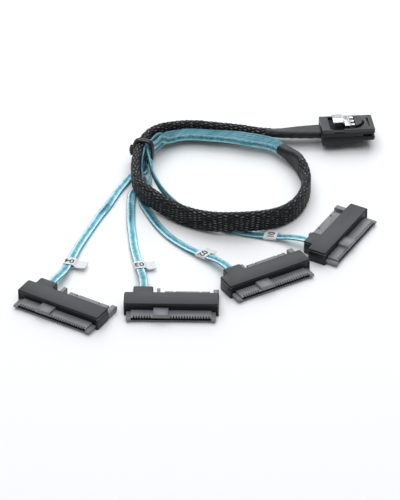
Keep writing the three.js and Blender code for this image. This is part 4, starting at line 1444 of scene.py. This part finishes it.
def leaf_spring(line: np.ndarray, width: float, thickness: float) -> np.ndarray:
    """Thin metal leaf that follows a line in Y and Z, centred on X = 0.

    Args:
        line: (places, 2) middle of the leaf.
        width: its width.
        thickness: its thickness.

    Returns:
        (rings, 4, 3) points.
    """
    way = np.gradient(line, axis=0)
    way /= np.linalg.norm(way, axis=1)[:, None]
    normal = np.column_stack([-way[:, 1], way[:, 0]]) * thickness / 2
    rings = np.zeros((len(line), 4, 3))
    for corner, (side, face) in enumerate(((-1, -1), (1, -1), (1, 1), (-1, 1))):
        rings[:, corner, 0] = side * width / 2
        rings[:, corner, 1:] = line + face * normal
    return rings


@dataclass
class DriveConnector:
    """Drive socket, power inlet and solder board in their cover, with the contacts that they hold."""

    drive: Drive
    contact_pitch: float = 1.27
    rows: tuple[tuple[int, float], ...] = ((7, -13.6), (15, 8.9))
    contact_width: float = 0.46
    leaf: float = 0.12
    contact_line: tuple[tuple[float, float], ...] = (
        (0.3, 2.5), (-0.8, 2.48), (-1.8, 2.3), (-2.6, 2.05), (-3.1, 1.98), (-3.5, 2.12), (-3.7, 2.4),
    )
    tongue_row: tuple[int, float] = (15, 6.85)
    blade_start: tuple[float, float] = (11.25, 1.02)
    blade_line: tuple[tuple[float, float], ...] = ((0.0, 0.0), (0.2, 0.06), (4.0, 0.06), (4.4, 0.14))
    blade_width: float = 0.56
    blade: float = 0.1
    mouth_half: float = 21.2
    mouth_top: float = 6.04
    ear_top: float = 2.26
    strip_half: float = 18.84
    strip_top: float = 3.2
    key_sides: tuple[float, float] = (-8.24, -1.26)
    key_top: float = 4.65
    shroud_depth: tuple[float, float] = (0.4, 1.4)
    slot_half: float = 18.75
    # Height and reach of the plate of painted shade in the slot.
    liner_height: tuple[float, float] = (1.37, 1.43)
    liner_depth: tuple[float, float] = (-5.2, 0.4)

    def rows_of(
        self, line: np.ndarray, width: float, thickness: float, rows: Iterable[tuple[int, float]]
    ) -> tuple[np.ndarray, list[tuple[int, ...]]]:
        """Equal leaves side by side, one contact pitch apart.

        Args:
            line: (places, 2) side view of one leaf.
            width: its width.
            thickness: its thickness.
            rows: number of leaves and middle of each row.

        Returns:
            Points in the layout and faces of one mesh.
        """
        tubes = []
        for count, centre in rows:
            for number in range(count):
                tube = leaf_spring(line, width, thickness)
                tube[..., 0] += centre + (number - (count - 1) / 2) * self.contact_pitch
                tubes.append(tube)
        points, faces = joined_tubes(tubes)
        return self.drive.world(points), faces

    def contacts(self, finishes: Finishes) -> bpy.types.Object:
        """Spring contacts in the channels of the two strips: each dips to the drive's tongue and turns up.
        Their metal is painted near black: painted shade of the channels.
        """
        points, faces = self.rows_of(np.array(self.contact_line), self.contact_width, self.leaf, self.rows)
        return make_piece(f"socket_contacts_{self.drive.number}", points, faces, finishes.tin)

    def shroud(self, finishes: Finishes) -> bpy.types.Object:
        """Black face of the mouth, above strips and ears and round the key block, and a thin black plate of
        painted shade as the roof of the slot.
        """
        half, strip, slot = self.mouth_half, self.strip_half, self.slot_half
        left, right = self.key_sides
        low, high = self.liner_height
        face = np.array([
            (-half, self.ear_top), (-strip, self.ear_top), (-strip, self.strip_top), (left, self.strip_top),
            (left, self.key_top), (right, self.key_top), (right, self.strip_top), (strip, self.strip_top),
            (strip, self.ear_top), (half, self.ear_top), (half, self.mouth_top), (-half, self.mouth_top),
        ])
        # Thin black plate in the slot: painted shade.
        roof = np.array([(-slot, low), (slot, low), (slot, high), (-slot, high)])
        points, faces = joined_tubes([plate(face, 1, self.shroud_depth), plate(roof, 1, self.liner_depth)])
        name = f"socket_shroud_and_slot_shade_{self.drive.number}"
        return make_piece(name, self.drive.world(points), faces, finishes.cover, None, 20.0)

    def inlet_contacts(self, finishes: Finishes) -> bpy.types.Object:
        """Plated blades in the grooves of the inlet's tongue."""
        line = np.array(self.blade_line) + np.array(self.blade_start)
        points, faces = self.rows_of(line, self.blade_width, self.blade, [self.tongue_row])
        return make_piece(f"inlet_contacts_{self.drive.number}", points, faces, finishes.gold)

    def build(self, finishes: Finishes) -> None:
        """Dresses the connector's nodes and adds its contacts."""
        number = self.drive.number
        soften(f"cover_{number}", finishes.cover, 0.2)
        soften(f"drive_socket_{number}", finishes.socket, 0.06, 1)
        soften(f"solder_board_{number}", finishes.board, 0.05, 1)
        soften(f"power_inlet_{number}", finishes.inlet, 0.08, 1)
        settle(self.shroud(finishes), "cover_plastic")
        settle(self.contacts(finishes), "socket_plastic")
        settle(self.inlet_contacts(finishes), "inlet_plastic")


@dataclass
class ControllerPlug:
    """Latched plug: two shells, a contact card, the block that grips the ribbons and the latch."""

    place: tuple[float, float, float] = (61.75, 96.4, 2.0)
    turn: float = 4.1
    roll: float = -9.2
    pads: int = 18
    pad_pitch: float = 0.8
    card_top: float = 5.45
    card_bottom: float = 4.65
    card_front: float = 26.2
    pad_inset: float = 0.4
    pad_length: float = 3.4
    pad_width: float = 0.5
    pad_thickness: float = 0.06
    bay_rear: float = 4.25
    bay_centre: float = 14.6
    bay_half: float = 7.65
    bay_floor: tuple[float, float] = (6.52, 6.6)

    def world(self, points: np.ndarray) -> np.ndarray:
        """Points of the plug's own frame in the layout, in millimetres."""
        turn, roll = math.radians(self.turn), math.radians(self.roll)
        rolled = np.array([
            [1, 0, 0], [0, math.cos(roll), -math.sin(roll)], [0, math.sin(roll), math.cos(roll)],
        ])
        turned = np.array([
            [math.cos(turn), -math.sin(turn), 0], [math.sin(turn), math.cos(turn), 0], [0, 0, 1],
        ])
        return points @ (turned @ rolled).T + np.array(self.place) + LAYOUT_SHIFT

    def bay_liner(self, finishes: Finishes) -> bpy.types.Object:
        """Painted shade: a dark plate over the floor of the bay round the latch."""
        angle = np.linspace(-math.pi / 2, math.pi / 2, 24)
        round_end = np.column_stack([
            self.bay_centre + self.bay_half * np.cos(angle), self.bay_half * np.sin(angle),
        ])
        line = np.vstack([[(self.bay_rear, -self.bay_half)], round_end, [(self.bay_rear, self.bay_half)]])
        points, faces = joined_tubes([plate(line, 2, self.bay_floor)])
        return make_piece("bay_liner", self.world(points), faces, finishes.shadow, None, 20.0)

    def card_pads(self, finishes: Finishes) -> bpy.types.Object:
        """Gold pads on both faces of the contact card."""
        tubes = []
        for height in (self.card_top, self.card_bottom):
            for number in range(self.pads):
                start = self.card_front - self.pad_inset - self.pad_length
                line = np.array([(start + self.pad_length * part, height) for part in (0.0, 0.5, 1.0)])
                tube = leaf_spring(line, self.pad_width, self.pad_thickness)[..., [1, 0, 2]]
                tube[..., 1] += (number - (self.pads - 1) / 2) * self.pad_pitch
                tubes.append(tube[:, ::-1])
        points, faces = joined_tubes(tubes)
        return make_piece("card_pads", self.world(points), faces, finishes.gold)

    def build(self, finishes: Finishes) -> None:
        """Dresses the plug's nodes and adds its pads."""
        soften("plug_base", finishes.plug, 0.12)
        soften("plug_lid", finishes.plug, 0.1)
        soften("contact_card", finishes.card, 0.05, 1)
        soften("wire_block", finishes.block, 0.1, 1)
        soften("latch", finishes.steel, 0.06, 1)
        settle(self.card_pads(finishes), "card_laminate")
        # The bay's plate of painted shade.
        settle(self.bay_liner(finishes), "plug_plastic")


FLAGS = {
    Drive.FOUR: FlagPlace(0.865, 6.4),
    Drive.THREE: FlagPlace(0.86, 5.6),
    Drive.TWO: FlagPlace(0.865, 4.2),
    Drive.ONE: FlagPlace(0.875, 3.8),
}


def main() -> None:
    """Builds the studio, the cords and the connectors, in that order."""
    logging.basicConfig(level=logging.INFO, format="%(name)s %(message)s", stream=sys.stdout)
    finishes = Finishes()
    studio = Studio()
    studio.make_camera()
    studio.make_lights()
    studio.make_floor(finishes)
    BraidedSleeve().build(finishes)
    for drive in Drive:
        BranchRibbon(drive, FLAGS[drive]).build(finishes)
    WireTie().build(finishes)
    for drive in Drive:
        DriveConnector(drive).build(finishes)
    ControllerPlug().build(finishes)


if __name__ == "__main__":
    main()
